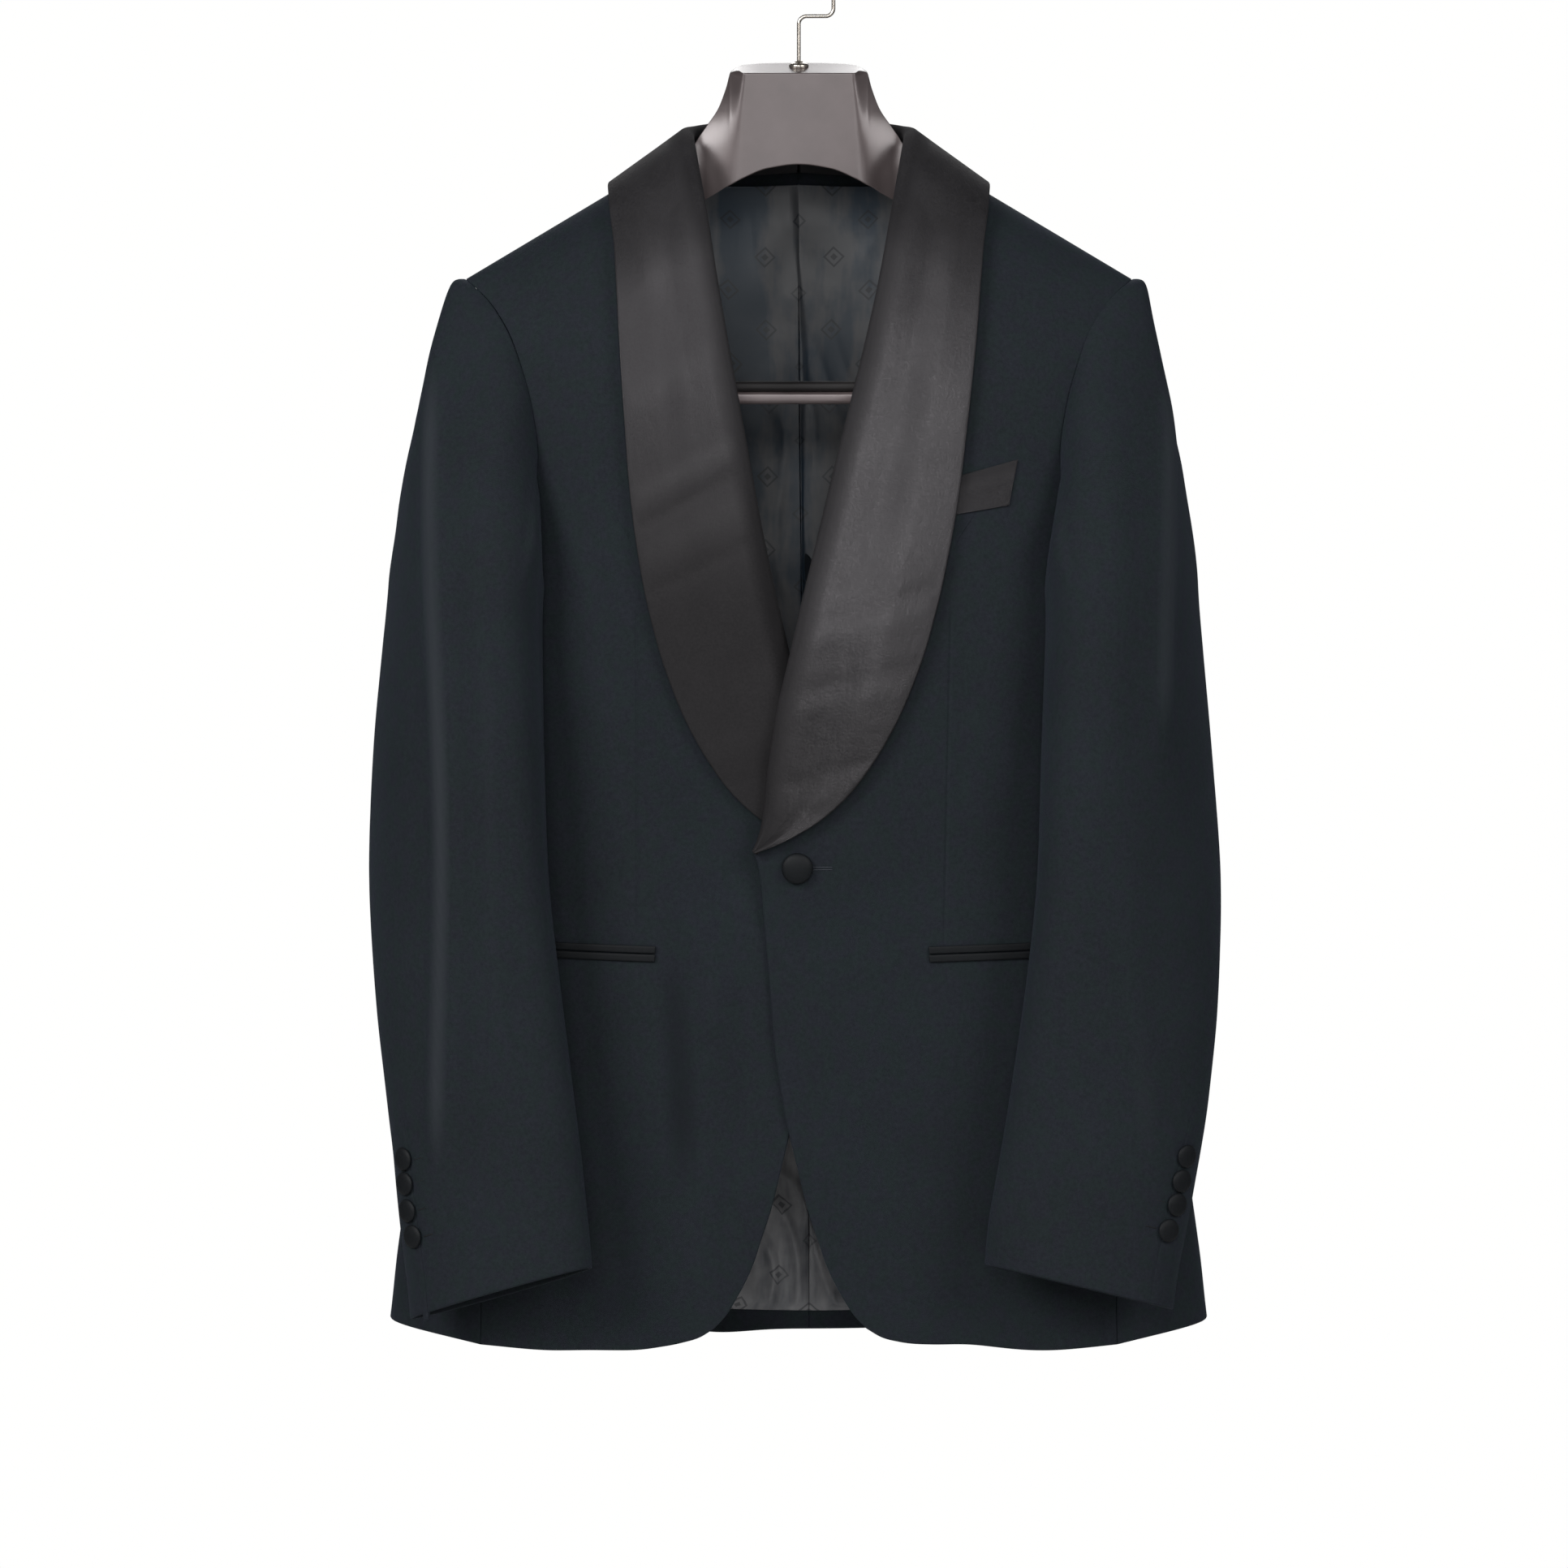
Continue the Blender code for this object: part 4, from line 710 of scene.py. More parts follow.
def put_loft(name, rings, material, node=None, poles=None, uv=None):
    """Closed loft of rings (count, around, 3), with a pole at each end: a given one or the ring's mean."""
    count, around = rings.shape[:2]
    poles = rings[[0, -1]].mean(axis=1) if poles is None else poles
    points = np.concatenate([rings.reshape(-1, 3), poles])
    index = np.arange(count * around).reshape(count, around)
    after = np.roll(index, -1, axis=1)
    quads = np.stack([index[:-1], after[:-1], after[1:], index[1:]], -1).reshape(-1, 4)
    first, last = count * around + 0 * index[0], count * around + 1 + 0 * index[0]
    fans = np.concatenate([np.stack([after[0], index[0], first], -1),
                           np.stack([index[-1], after[-1], last], -1)])
    if inside_out(points, quads):
        quads, fans = quads[:, ::-1], fans[:, ::-1]
    if uv is not None:
        uv = np.concatenate([uv.reshape(-1, 2), np.zeros((2, 2))])
    return put(name, points, quads.tolist() + fans.tolist(), material, node, uv)


# thickness of the panels, the sleeves, the linings and the collar
PANEL, SLEEVE_CLOTH, LINING_CLOTH, COLLAR_CLOTH = 2.3, 2.0, 1.2, 2.4


def wool_sheet(part, side, middle, normals, thickness, widths, crest=None):
    """A wool wall of a side, whose lengths declare measures and leaves unused."""
    wall = cloth_wall(f"{part}_{NAMES[side]}", middle, normals, thickness, widths, WOOL, crest=crest)
    declare(middle)


print("rolled share half way into the edge:", round(float(np.sqrt(1 - 0.25)), 3))


# %% [markdown]
# ## Fronts
#
# Each front is one cut piece with a dart from the chest to the pocket. Its four edges are curves in the
# plan of height and distance from the middle, and a Coons patch fills them: the mean of the two rulings
# less the twist of the corners. The columns are drawn to the dart, so that its seam can be a fine line.

# %% Cut edges of the front (height, distance from the middle)
FRONT_EDGE = np.array([
    (-875, 49), (-867, 41.5), (-855, 34), (-835, 24), (-817, 18), (-802, 13), (-770, 5), (-749, 0),
    (-696, -9), (-644, -13.4), (-604, -16.8), (-584, -18.6), (-573, -20.4), (-566, -22.4), (-552, -15.5),
    (-513, -9.8), (-461, -1),
    (-435, 5.3), (-404, 12.2), (-365, 21.2), (-317, 31.3), (-268, 41.8), (-209, 54.5), (-168, 62.5),
    (-155, 66.5), (-147, 70.2), (-139, 74), (-131, 77.3), (-124, 80),
], dtype=float)
FRONT_SIDE = np.array([
    (-890, 205.2), (-883, 205), (-800, 202), (-700, 194), (-576, 187), (-470, 187), (-420, 188), (-372, 188),
    (-360, 179.5), (-340, 170), (-315, 166), (-290, 168.5), (-259, 176), (-230, 188), (-215, 199),
    (-208, 206.5), (-203, 213),
], dtype=float)
FRONT_FOOT, HEM_Z = -886.8, -883.0
# distance from the middle, height
FRONT_HEM = np.array([
    (49, -875), (58, -880.5), (70, -884), (90, -886.6), (115, -887.4), (160, -889.6), (205, FRONT_FOOT),
], dtype=float)
DART = {LEFT: np.array([(-640, 103), (-400, 103)], dtype=float),
        RIGHT: np.array([(-640, 92.3), (-400, 96.6)], dtype=float)}
DART_TOP, DART_FOOT = -405.0, -627.0


def dart_at(side, z):
    """Distance of the dart from the middle, at a height."""
    return np.interp(z, DART[side][:, 0], DART[side][:, 1])


def coons(edges, u, v):
    """The patch at shares u across and v down. edges are functions of a share: top, bottom, first, last."""
    top, bottom, first, last = edges
    zero, one = np.zeros(1), np.ones(1)
    across = (1 - u)[..., None] * first(v) + u[..., None] * last(v)
    down = (1 - v)[..., None] * top(u) + v[..., None] * bottom(u)
    corner_top = (1 - u)[..., None] * top(zero) + u[..., None] * top(one)
    corner_foot = (1 - u)[..., None] * bottom(zero) + u[..., None] * bottom(one)
    return across + down - (1 - v)[..., None] * corner_top - v[..., None] * corner_foot


def curve(x, z):
    return np.stack([x, z], axis=-1)


def front_plan(side, u, v):
    """Distance from the middle and height of a front's points. The left hem hangs a little lower."""
    def top(s):
        x = NECK_X + (TIP_X - NECK_X) * s
        return curve(x, shoulder_z(x))

    def bottom(s):
        x = FRONT_HEM[0, 0] + (FRONT_HEM[-1, 0] - FRONT_HEM[0, 0]) * s
        return curve(x, smooth(x, FRONT_HEM) + side * 2.0 * bell(x - 108.0, 26.0))

    def first(s):
        z = NECK_Z + (FRONT_EDGE[0, 0] - NECK_Z) * s
        return curve(smooth(z, FRONT_EDGE), z)

    def last(s):
        z = TIP_Z + (FRONT_FOOT - TIP_Z) * s
        return curve(smooth(z, FRONT_SIDE), z)

    return coons((top, bottom, first, last), u, v)


def panel_rows(length, step=4.2):
    """Shares down a panel: quadratic where the shoulder turns over, then even, then close at the hem."""
    turn = [0.0, 0.003, 0.012, 0.03, 0.07, 0.15, 0.3, 0.55, 0.95, 1.5, 2.3, 3.4, 4.9, 6.8, 9.2, 12.0, 15.0,
            18.5]
    inner = np.linspace(22, length - 3, int((length - 25) / step))
    return np.concatenate([turn, inner, length - np.array([1.8, 0.9, 0.4, 0.12, 0.0])]) / length


FRONT_ROWS = panel_rows(760.0)
print("front rows:", len(FRONT_ROWS))


# %% Relief of the fronts
# height, place across, width, top, foot, run, lean, pivot height
FRONT_FOLDS = (
    (-3.2, -76.0, 8.5, -610.0, -800.0, 60.0, -0.05, -700.0),
    (1.2, -57.0, 12.0, -600.0, -850.0, 90.0),
    (-0.9, -38.0, 7.0, -615.0, -780.0, 60.0),
    (-1.6, -52.0, 32.0, -640.0, -870.0, 90.0),
)


def front_relief(side, x, z):
    """How far the cloth stands off the form: the dart's seam, soft hanging folds on the left, a drag at the
    button and a calm unevenness."""
    away = side * x
    off_dart = away - dart_at(side, z)
    calm = ease((smooth(z, FRONT_SIDE) - away) / 18.0) * ease((shoulder_z(x) - z) / 30.0)
    relief = -0.55 * bell(off_dart, 0.8) * window(z, DART_TOP, DART_FOOT, 14.0)
    relief = relief + 0.5 * bell(off_dart, 16.0) * window(z, -430.0, -650.0, 60.0)
    relief = relief + 0.8 * swell(x / 55.0, z / 190.0, 11 + side) * ease((-240.0 - z) / 120.0)
    relief = relief + 0.3 * swell(x / 19.0, z / 60.0, 21 + side)
    if side == LEFT:
        relief = relief + sum(fold(x, z, *row) for row in FRONT_FOLDS)
    drag = bell((z + 577.0) + 0.25 * (away - 10.0), 9.0) * ease((away - 4.0) / 20.0)
    drag = drag * (1 - ease((away - 30.0) / 80.0))
    return (relief - 0.5 * drag) * calm


def front_grid(side, bend=0.56):
    """Middle of a front's wall, its normals and its relief. The columns are drawn so that the one at the
    share bend follows the dart, with its neighbours close beside it."""
    share = marks(205.0, 2.6)
    u = np.broadcast_to(share, (len(FRONT_ROWS), len(share)))
    v = np.broadcast_to(FRONT_ROWS[:, None], u.shape)
    edge, seam = front_plan(side, 0 * v, v)[..., 0], front_plan(side, 0 * v + 1, v)[..., 0]
    z = front_plan(side, u, v)[..., 1]
    dart = dart_at(side, z) - side * sway(side * 100.0, z)
    at_dart = np.clip((dart - edge) / (seam - edge), 0.3, 0.8)
    at_dart = at_dart + (bend - at_dart) * (1 - ease((-330.0 - z) / 60.0))
    squeeze = np.where(u < bend, u / bend, (1 - u) / (1 - bend))
    squeeze = np.where(squeeze < 0.5, squeeze, 1 - 2 * (1 - squeeze) ** 2 * 0.9 - 0.1 * (1 - squeeze))
    drawn = np.where(u < bend, squeeze * at_dart, 1 - squeeze * (1 - at_dart))
    plan = front_plan(side, drawn, v)
    z, x = plan[..., 1], side * plan[..., 0]
    x = x + sway(x, z)
    form = np.stack([x, body_y(x, z, -1), z], axis=-1)
    normals, relief = body_normal(form), front_relief(side, x, z)
    lift = lap_rise(side, x, z) - PANEL / 2 + relief
    return form + normals * lift[..., None], normals, relief


for side in (LEFT, RIGHT):
    middle, normals, relief = front_grid(side)
    wool_sheet("front", side, middle, normals, PANEL, (0.5, 1.3, 1.3, 0.45), relief)

# %% [markdown]
# ## Backs and side bodies
#
# The back is two cut pieces with a seam down the middle, and a side body lies between back and front
# below the armhole. The back is filled in the same way as the front. A side body is simpler: it runs
# along the girth of the form from one seam to the other, and its top dips under the arm.

# %% Cut edges of the back
BACK_SIDE = np.array([
    (-883, 190), (-800, 186), (-700, 178), (-576, 172), (-470, 180), (-420, 186), (-372, 192),
    (-350, 188), (-320, 186), (-290, 188), (-259, 193), (-230, 200), (-215, 205), (-208, 208), (-203, 213),
], dtype=float)
BACK_TOP = np.array([
    (0, -132), (30, -131.8), (54, -130.7), (69, -128.5), (76.5, -126.2), (NECK_X, NECK_Z), (TIP_X, TIP_Z),
], dtype=float)
BACK_HEM = -895.5
UNDERARM = -372.0


def back_plan(u, v, inset=0.0, drop=0.0, rise=0.0):
    """Distance from the middle and height of a back's points. A lining is the same cut, drawn in at the
    side by an inset, at the top by a drop and at the hem by a rise."""
    def top(s):
        x = s * (TIP_X - inset)
        return curve(x, np.interp(x, BACK_TOP[:, 0], BACK_TOP[:, 1]))

    def bottom(s):
        x = s * (BACK_SIDE[0, 1] - inset)
        return curve(x, BACK_HEM + (HEM_Z - BACK_HEM) * (x / BACK_SIDE[0, 1]) ** 2)

    def first(s):
        return curve(0 * s, BACK_TOP[0, 1] + (BACK_HEM - BACK_TOP[0, 1]) * s)

    def last(s):
        z = TIP_Z + (HEM_Z - TIP_Z) * s
        return curve(smooth(z, BACK_SIDE) - inset, z)

    plan = coons((top, bottom, first, last), u, v)
    plan[..., 1] += -drop * (1 - v) ** 12 + rise * v ** 12
    return plan


def back_form(side, u, v, **cut):
    """Points of the form under a back: the closed fronts pull its middle a little to the right, and the
    wool's hem hangs lower for a stretch on the left."""
    plan = back_plan(u, v, **cut)
    z, x = plan[..., 1], side * plan[..., 0]
    if not cut:
        z = z - 3.5 * bell(x + 60.0, 28.0) * v ** 12
    x = x + 7.0 * ease((-150.0 - z) / 740.0) * np.clip(1.0 - (x / 165.0) ** 2, 0, 1)
    return np.stack([x, body_y(x, z, 1), z], axis=-1)


# height, place across, width, top, foot, run, lean, pivot height
BACK_FOLDS = (
    (-0.8, 0.0, 26.0, -260.0, -860.0, 150.0),
    (1.4, -150.0, 12.0, -420.0, -880.0, 160.0, 0.03, -500.0),
    (-0.9, -118.0, 12.0, -420.0, -880.0, 160.0, 0.03, -500.0),
    (1.3, 146.0, 12.0, -420.0, -880.0, 160.0, 0.03, -500.0),
    (-0.8, 112.0, 12.0, -420.0, -880.0, 160.0, 0.03, -500.0),
)


def back_relief(x, z):
    """A shallow hollow along the middle and soft folds from the shoulder blades, calm at the seams."""
    calm = ease((smooth(z, BACK_SIDE) - np.abs(x)) / 18.0) * ease((shoulder_z(x) - z) / 30.0)
    relief = 1.1 * swell(x / 60.0, z / 210.0, 31) * ease((-250.0 - z) / 120.0)
    relief = relief + 0.3 * swell(x / 24.0, z / 70.0, 32)
    return (relief + sum(fold(x, z, *row) for row in BACK_FOLDS)) * calm


print("back: half breadth at the armhole", float(smooth(-290.0, BACK_SIDE)), "mm")

# %% Backs
for side in (LEFT, RIGHT):
    v, u = np.meshgrid(FRONT_ROWS, marks(205.0, 3.4), indexing="ij")
    form = back_form(side, u, v)
    normals = body_normal(form)
    middle = form + normals * (back_relief(form[..., 0], form[..., 2]) - PANEL / 2)[..., None]
    wool_sheet("back", side, middle, normals, PANEL, (0.5, 1.3, 0.45, 0.45))

# %% Side bodies
SIDE_LENGTH, DIP = 511.0, 16.0  # length of a side body, and how far its top dips under the arm
near_edge = marks(30.0, 3.0) * 30
side_rows = np.concatenate([near_edge[:6], np.linspace(8, 508, 110), SIDE_LENGTH - near_edge[4::-1]])
side_rows = side_rows / SIDE_LENGTH
for side in (LEFT, RIGHT):
    v, u = np.meshgrid(side_rows, marks(75.0, 3.0), indexing="ij")
    z = UNDERARM + (HEM_Z - UNDERARM) * v
    bow, drop = 4 * u * (1 - u), (FRONT_FOOT - HEM_Z) * v ** 3
    start, stop = girth_at(smooth(z + drop, FRONT_SIDE), z + drop, -1), girth_at(smooth(z, BACK_SIDE), z, 1)
    hem = 9.0 * bow * v ** 3 + drop * (1 - u)
    form = girth_point(side, start + (stop - start) * u, z - DIP * bow * (1 - v) + hem)
    normals = body_normal(form)
    calm = ease(bow * 1.2) * window(form[..., 2], -390.0, -870.0, 40.0)
    relief = 0.9 * swell(form[..., 1] / 30.0, form[..., 2] / 150.0, 41 + side) * calm
    middle = form + normals * (relief - PANEL / 2)[..., None]
    wool_sheet("side", side, middle, normals, PANEL, (0.5, 1.3, 0.45, 0.45))

# %% [markdown]
# ## Linings
#
# The lining is a loose thin bag inside the back, cut larger than the wool so that it never pulls. Its
# spare width lies in a pleat down the middle, and the rest falls in small slanting wrinkles. Both are
# heights added along the normal, towards the inside.


# %% Wrinkles and pleat of the lining
def lining_relief(x, z):
    """How far the lining stands inwards: slanting wrinkles, sharper creases low down, and a step along the
    pleat."""
    away = np.abs(x)
    wrinkle = np.sin((away + 0.55 * z) / 15.0 + 1.8 * swell(x / 34.0, z / 40.0, 51))
    wrinkle = wrinkle * (0.6 + 0.4 * swell(x / 30.0, z / 55.0, 52)) + 0.55 * swell(x / 8.0, z / 18.0, 53)
    crossing = np.sin((away - 0.9 * z) / 7.0 + 2.2 * swell(x / 22.0, z / 25.0, 54))
    crease = 1.0 - np.abs(np.sin((0.7 * x + 0.45 * z) / 9.0 + 2.6 * swell(x / 15.0, z / 19.0, 55)))
    wrinkle = wrinkle + 0.7 * crossing * ease((-760.0 - z) / 60.0)
    wrinkle = wrinkle + (0.5 + 1.1 * ease((-740.0 - z) / 50.0)) * crease ** 2
    free = ease((-215.0 - z) / 60.0) + 0.5 * window(z, -150.0, -240.0, 20.0)
    pleat = np.interp(z, (-883, -500, -290, -270, -140), (6.0, 4.0, 2.0, 5.0, -4.0))
    step = 1.0 / (1.0 + np.exp((x - pleat) / 0.5)) * np.exp(np.minimum(x - pleat, 0.0) / 22.0)
    return 1.9 * wrinkle * free + 2.0 * step * ease((-140.0 - z) / 12.0)


for side in (LEFT, RIGHT):
    v, u = np.meshgrid(FRONT_ROWS, marks(200.0, 2.4), indexing="ij")
    form = back_form(side, u, v, inset=8.0, drop=10.5, rise=12.5)
    normals = body_normal(form)
    edge = ease(u / 0.001) * ease((1 - u) / 0.06) * ease((1 - v) / 0.012)
    depth = 5.2 * edge + 4.4 * (1 - edge) + lining_relief(form[..., 0], form[..., 2]) * edge
    middle = form - normals * np.maximum(depth, 3.4)[..., None]
    wall = cloth_wall(f"lining_back_{NAMES[side]}", middle, normals, LINING_CLOTH, (0.6, 0.6, 0.2, 0.6),
                      LINING)
    declare(middle)

# %% [markdown]
# ## Sleeves
#
# A sleeve is two pieces, a top sleeve and an under sleeve, sewn at the front and at the back of the arm.
# Both are parts of one tube. Its first line is the armhole, the rest are ellipses whose long axis turns
# from front-to-back at the shoulder to side-to-side at the cuff, and the cap between them is a cubic
# curve that leaves the armhole squarely. Any point nearer than 4 mm to the body is pushed out to it.

# %% Sizes of the sleeve
# height, centre out, centre y, half thickness, half breadth, turn on the left and on the right (degrees)
SLEEVE = np.array([
    (-880, 184.0, -103, 23.5, 60.5, 76, 90), (-843, 186.0, -101, 24.0, 60.4, 76, 89),
    (-800, 190.6, -98, 25.5, 61.3, 75, 86), (-720, 200.7, -92, 29.0, 62.5, 70, 78),
    (-655, 208.4, -86, 33.0, 64.5, 64, 69), (-590, 213.4, -78, 38.0, 67.0, 54, 57),
    (-500, 212.4, -68, 42.0, 69.0, 40, 41), (-400, 209.6, -56, 43.5, 69.0, 26, 26),
    (-300, 205.0, -46, 44.0, 69.0, 15, 15),
], dtype=float)
# height, sideways hang of the left and of the right sleeve
SLEEVE_SWAY = np.array([
    (-880, -4.8, -7.6), (-843, -4.6, -7.4), (-815, -4.3, -7.0), (-788, -4.0, -4.9), (-740, -3.2, -3.2),
    (-720, -2.9, -2.9), (-400, -2.9, -2.9), (-300, -1, -1), (-203, 0, 0),
], dtype=float)
# height, how much fuller the outer side is on the left and on the right
OUTER = np.array([
    (-203, 0, 0), (-224, 0.8, -2.4), (-248, 2.4, -2.1), (-272, 3.6, -1.0), (-295, 5.3, 1.0), (-319, 6.3, 3.0),
    (-343, 5.0, 2.3), (-366, 2.3, 1.5), (-400, 1.0, 0.2), (-440, 1.4, 0.2), (-508, 2.5, 0), (-560, 1.4, -0.8),
    (-620, 0.4, -0.3), (-673, 0, 2.0), (-697, -0.5, 2.6), (-720, -1.0, 3.0), (-744, -2.0, 1.6),
    (-762, -1.6, 0.2), (-815, -1.5, 0), (-880, -0.6, 0),
], dtype=float)
COLUMN = {LEFT: 1, RIGHT: 2}
# angle round the armhole from its top, angle round the sleeve (degrees)
ROUND_ARM = np.array([(0, 0), (90, 85), (180, 200), (270, 278), (360, 360), (450, 445)], dtype=float)
SLEEVE_TOP, SLEEVE_FOOT = -400.0, {LEFT: -847.0, RIGHT: -842.8}
# how the cuff's plane slopes outwards (tilt) and forwards (pitch)
TILT = {LEFT: tan(radians(14.8)), RIGHT: tan(radians(13.5))}
PITCH = {LEFT: tan(radians(13)), RIGHT: tan(radians(9))}
FRONT_SEAM, BACK_SEAM = 140.0, 278.0


def armhole(side):
    """The armhole as one closed run: from the tip down the front, under the arm and up the back."""
    near = np.linspace(0, 1, 200) ** 2
    z = TIP_Z + (UNDERARM - TIP_Z) * near
    x = smooth(z, FRONT_SIDE)
    front = np.stack([side * x, body_y(side * x, z, -1), z], axis=-1)
    u = np.linspace(0, 1, 102)[1:-1]
    start, stop = [float(girth_at(smooth(UNDERARM, table), UNDERARM, face)) for table, face in
                   ((FRONT_SIDE, -1), (BACK_SIDE, 1))]
    under = girth_point(side, start + (stop - start) * u, UNDERARM - DIP * 4 * u * (1 - u))
    x = smooth(z, BACK_SIDE)
    back = np.stack([side * x, body_y(side * x, z, 1), z], axis=-1)[::-1]
    return np.concatenate([front, under, back])


def sleeve_ring(side, turn, z):
    """The ellipse of a height at an angle, tilted at the cuff."""
    centre, centre_y = smooth(z, SLEEVE, 1), smooth(z, SLEEVE, 2)
    thin, broad = smooth(z, SLEEVE, 3), smooth(z, SLEEVE, 4)
    axis = np.radians(smooth(z, SLEEVE, 4 + COLUMN[side]))
    out = thin * np.cos(turn) * np.cos(axis) - broad * np.sin(turn) * np.sin(axis)
    y = centre_y - thin * np.cos(turn) * np.sin(axis) - broad * np.sin(turn) * np.cos(axis)
    outer = np.clip(np.cos(turn + 0.4), 0, 1)
    lean = ease((-550.0 - z) / 250.0) * (TILT[side] * out + PITCH[side] * (y - centre_y))
    x = centre + out + outer * smooth(z, OUTER, COLUMN[side])
    return np.stack([side * x + smooth(z, SLEEVE_SWAY, COLUMN[side]), y, z - lean], axis=-1)


def armhole_at(side, degrees):
    """The armhole's points at angles of the sleeve."""
    loop = armhole(side)
    round_arm = np.arctan2(-(loop[:, 1] + 8.0) / 60.0, (loop[:, 2] + 295.0) / 92.0)
    round_arm = np.interp(np.degrees(np.unwrap(round_arm)), ROUND_ARM[:, 0], ROUND_ARM[:, 1])
    wanted = np.where(degrees > round_arm[-1], degrees - 360.0, degrees)
    return np.stack([np.interp(wanted, round_arm, loop[:, k]) for k in range(3)], axis=-1)


print("armhole girth:", round(float(np.linalg.norm(np.diff(armhole(RIGHT), axis=0), axis=1).sum())), "mm")


# %% The tube of a sleeve
# degrees round the cuff where the upper lap of the vent ends, and how many the left under lap shows past it
VENT, VENT_SHOWS, VENT_DROP = 312.0, 5.4, 4.4
ROPE = 3.2  # rise of the sleeve head over the shoulder seam


def vent_drop(side, degrees):
    """How much lower the corner of the under lap hangs at the vent, on the left sleeve only."""
    if side == RIGHT:
        return 0.0 * degrees
    return VENT_DROP * ease((VENT - degrees) / 0.5) * ease((degrees - VENT + VENT_SHOWS) / 0.5)


def inner_hollow(turn, z):
    """The hollow in the sleeve's inner side, where it is pressed between arm and chest."""
    return 5.5 * np.clip(-np.cos(turn + 0.4), 0, 1) ** 0.5 * bell(z + 358.0, 34.0)


def sleeve_grid(side, degrees, cap_rows=44, arm_rows=130):
    """Outer face: rows down, columns round. Cap: Hermite curve from the armhole to the first ring. That
    ring starts high where the sleeve lies on the chest, so that its edge carries on the line of the seam."""
    loop, turn = armhole_at(side, degrees), np.radians(degrees)
    share_out = ease((loop[:, 2:] + 275.0) / 60.0)
    on_chest = (ease((degrees % 360.0 - 95.0) / 30.0) * ease((225.0 - degrees % 360.0) / 25.0))[:, None]
    leave = unit(body_normal(loop) * (1 - share_out) + np.array([side, 0.0, 0.12]) * share_out)
    leave = unit(leave - 0.9 * on_chest * np.array([side, 0.0, 0.0]))
    begin = SLEEVE_TOP + (np.maximum(loop[:, 2] - 30.0, SLEEVE_TOP) - SLEEVE_TOP) * on_chest[:, 0]
    ring, below = sleeve_ring(side, turn, begin), sleeve_ring(side, turn, begin - 10.0)
    drop = (loop[:, 2] - begin)[:, None]
    t = np.concatenate([[0, 0.002, 0.006, 0.012, 0.02], np.linspace(0.032, 1, cap_rows)[:-1]])[:, None, None]
    cap = hermite(t, loop, ring, leave * drop * (0.32 + 0.8 * on_chest), (below - ring) / 10.0 * drop * 1.15)
    cap = cap + ROPE * (t / 0.07) * np.exp(1 - t / 0.07) * share_out ** 2 * np.array([side, 0.0, 0.1])
    t, z = t[..., 0], cap[..., 2]
    fuller = smooth(z, OUTER, COLUMN[side]) - t ** 2 * smooth(SLEEVE_TOP, OUTER, COLUMN[side])
    cap[..., 0] += side * (np.clip(np.cos(turn + 0.4), 0, 1) * fuller - inner_hollow(turn, z) * ease(t * 4.0))
    foot = SLEEVE_FOOT[side]
    s = np.concatenate([np.linspace(0, 1, arm_rows), 1 + np.array([1.2, 2.1, 2.7, 3.0]) / 440.0])[:, None]
    s = s / s[-1]
    z = begin + (foot - begin) * s - vent_drop(side, degrees) * ease((s - 0.86) / 0.14)
    arm = sleeve_ring(side, turn, z)
    arm[..., 0] -= side * inner_hollow(turn, arm[..., 2])
    grid = np.concatenate([cap, arm])
    clear = 4.0 * ease(np.concatenate([t[:, 0], 1 + s[:, 0]]) * 6.0 / 4.2)
    return np.concatenate([grid[:1], settle(grid, clear[:, None], only_out=True)[1:]])


# height, place across, width, top, foot, run, lean, pivot height, wave, pitch
SLEEVE_FOLDS = {
    LEFT: ((3.8, -229.0, 5.5, -225.0, -790.0, 80.0, -0.008, -500.0, -3.0, 70.0),
           (-1.4, -212.0, 9.0, -300.0, -790.0, 90.0),
           (0.8, -196.0, 9.0, -380.0, -760.0, 90.0, -0.05, -560.0)),
    RIGHT: ((3.2, 233.0, 6.0, -215.0, -520.0, 70.0, 0.0, 0.0, 2.0, 60.0),
            (-0.9, 212.0, 9.0, -260.0, -560.0, 90.0),
            (1.2, 214.0, 11.0, -500.0, -800.0, 90.0, -0.06, -650.0))}
VENT_GROOVE = {LEFT: 0.7, RIGHT: 0.15}


def sleeve_relief(side, grid, normals, degrees):
    """Soft long folds of a hanging sleeve, on the face that looks forward, and the groove where the vent's
    upper lap ends. All is calm at the seams."""
    x, z = grid[..., 0], grid[..., 2]
    turn = np.radians(degrees)[None, :] + 0 * x
    uneven = swell(3.0 * np.cos(turn), z / 120.0 + 2 * np.sin(turn), 61 + side)
    relief = 0.9 * uneven * window(z, -330.0, -830.0, 60.0)
    relief = relief + sum(fold(x, z, *row) for row in SLEEVE_FOLDS[side]) * ease(-normals[..., 1] / 0.5)
    relief = relief - VENT_GROOVE[side] * bell(degrees - VENT + 0 * x, 0.8) * window(z, -733.0, -900.0, 6.0)
    down, across = lengths(grid, 0)[0], lengths(grid, 1)
    return relief * ease(down / 25.0) * ease(across[0] / 12.0) * ease(across[1] / 12.0)


# columns added close together at the vent, in degrees from it
NEAR_VENT = np.array([-6.9, -6.2, -5.6, -5.4, -5.2, -4.9, -4.4, -3.4, -2.2, -1.2, -0.75, -0.5, -0.25, 0.0,
                      0.4, 0.9, 1.6])


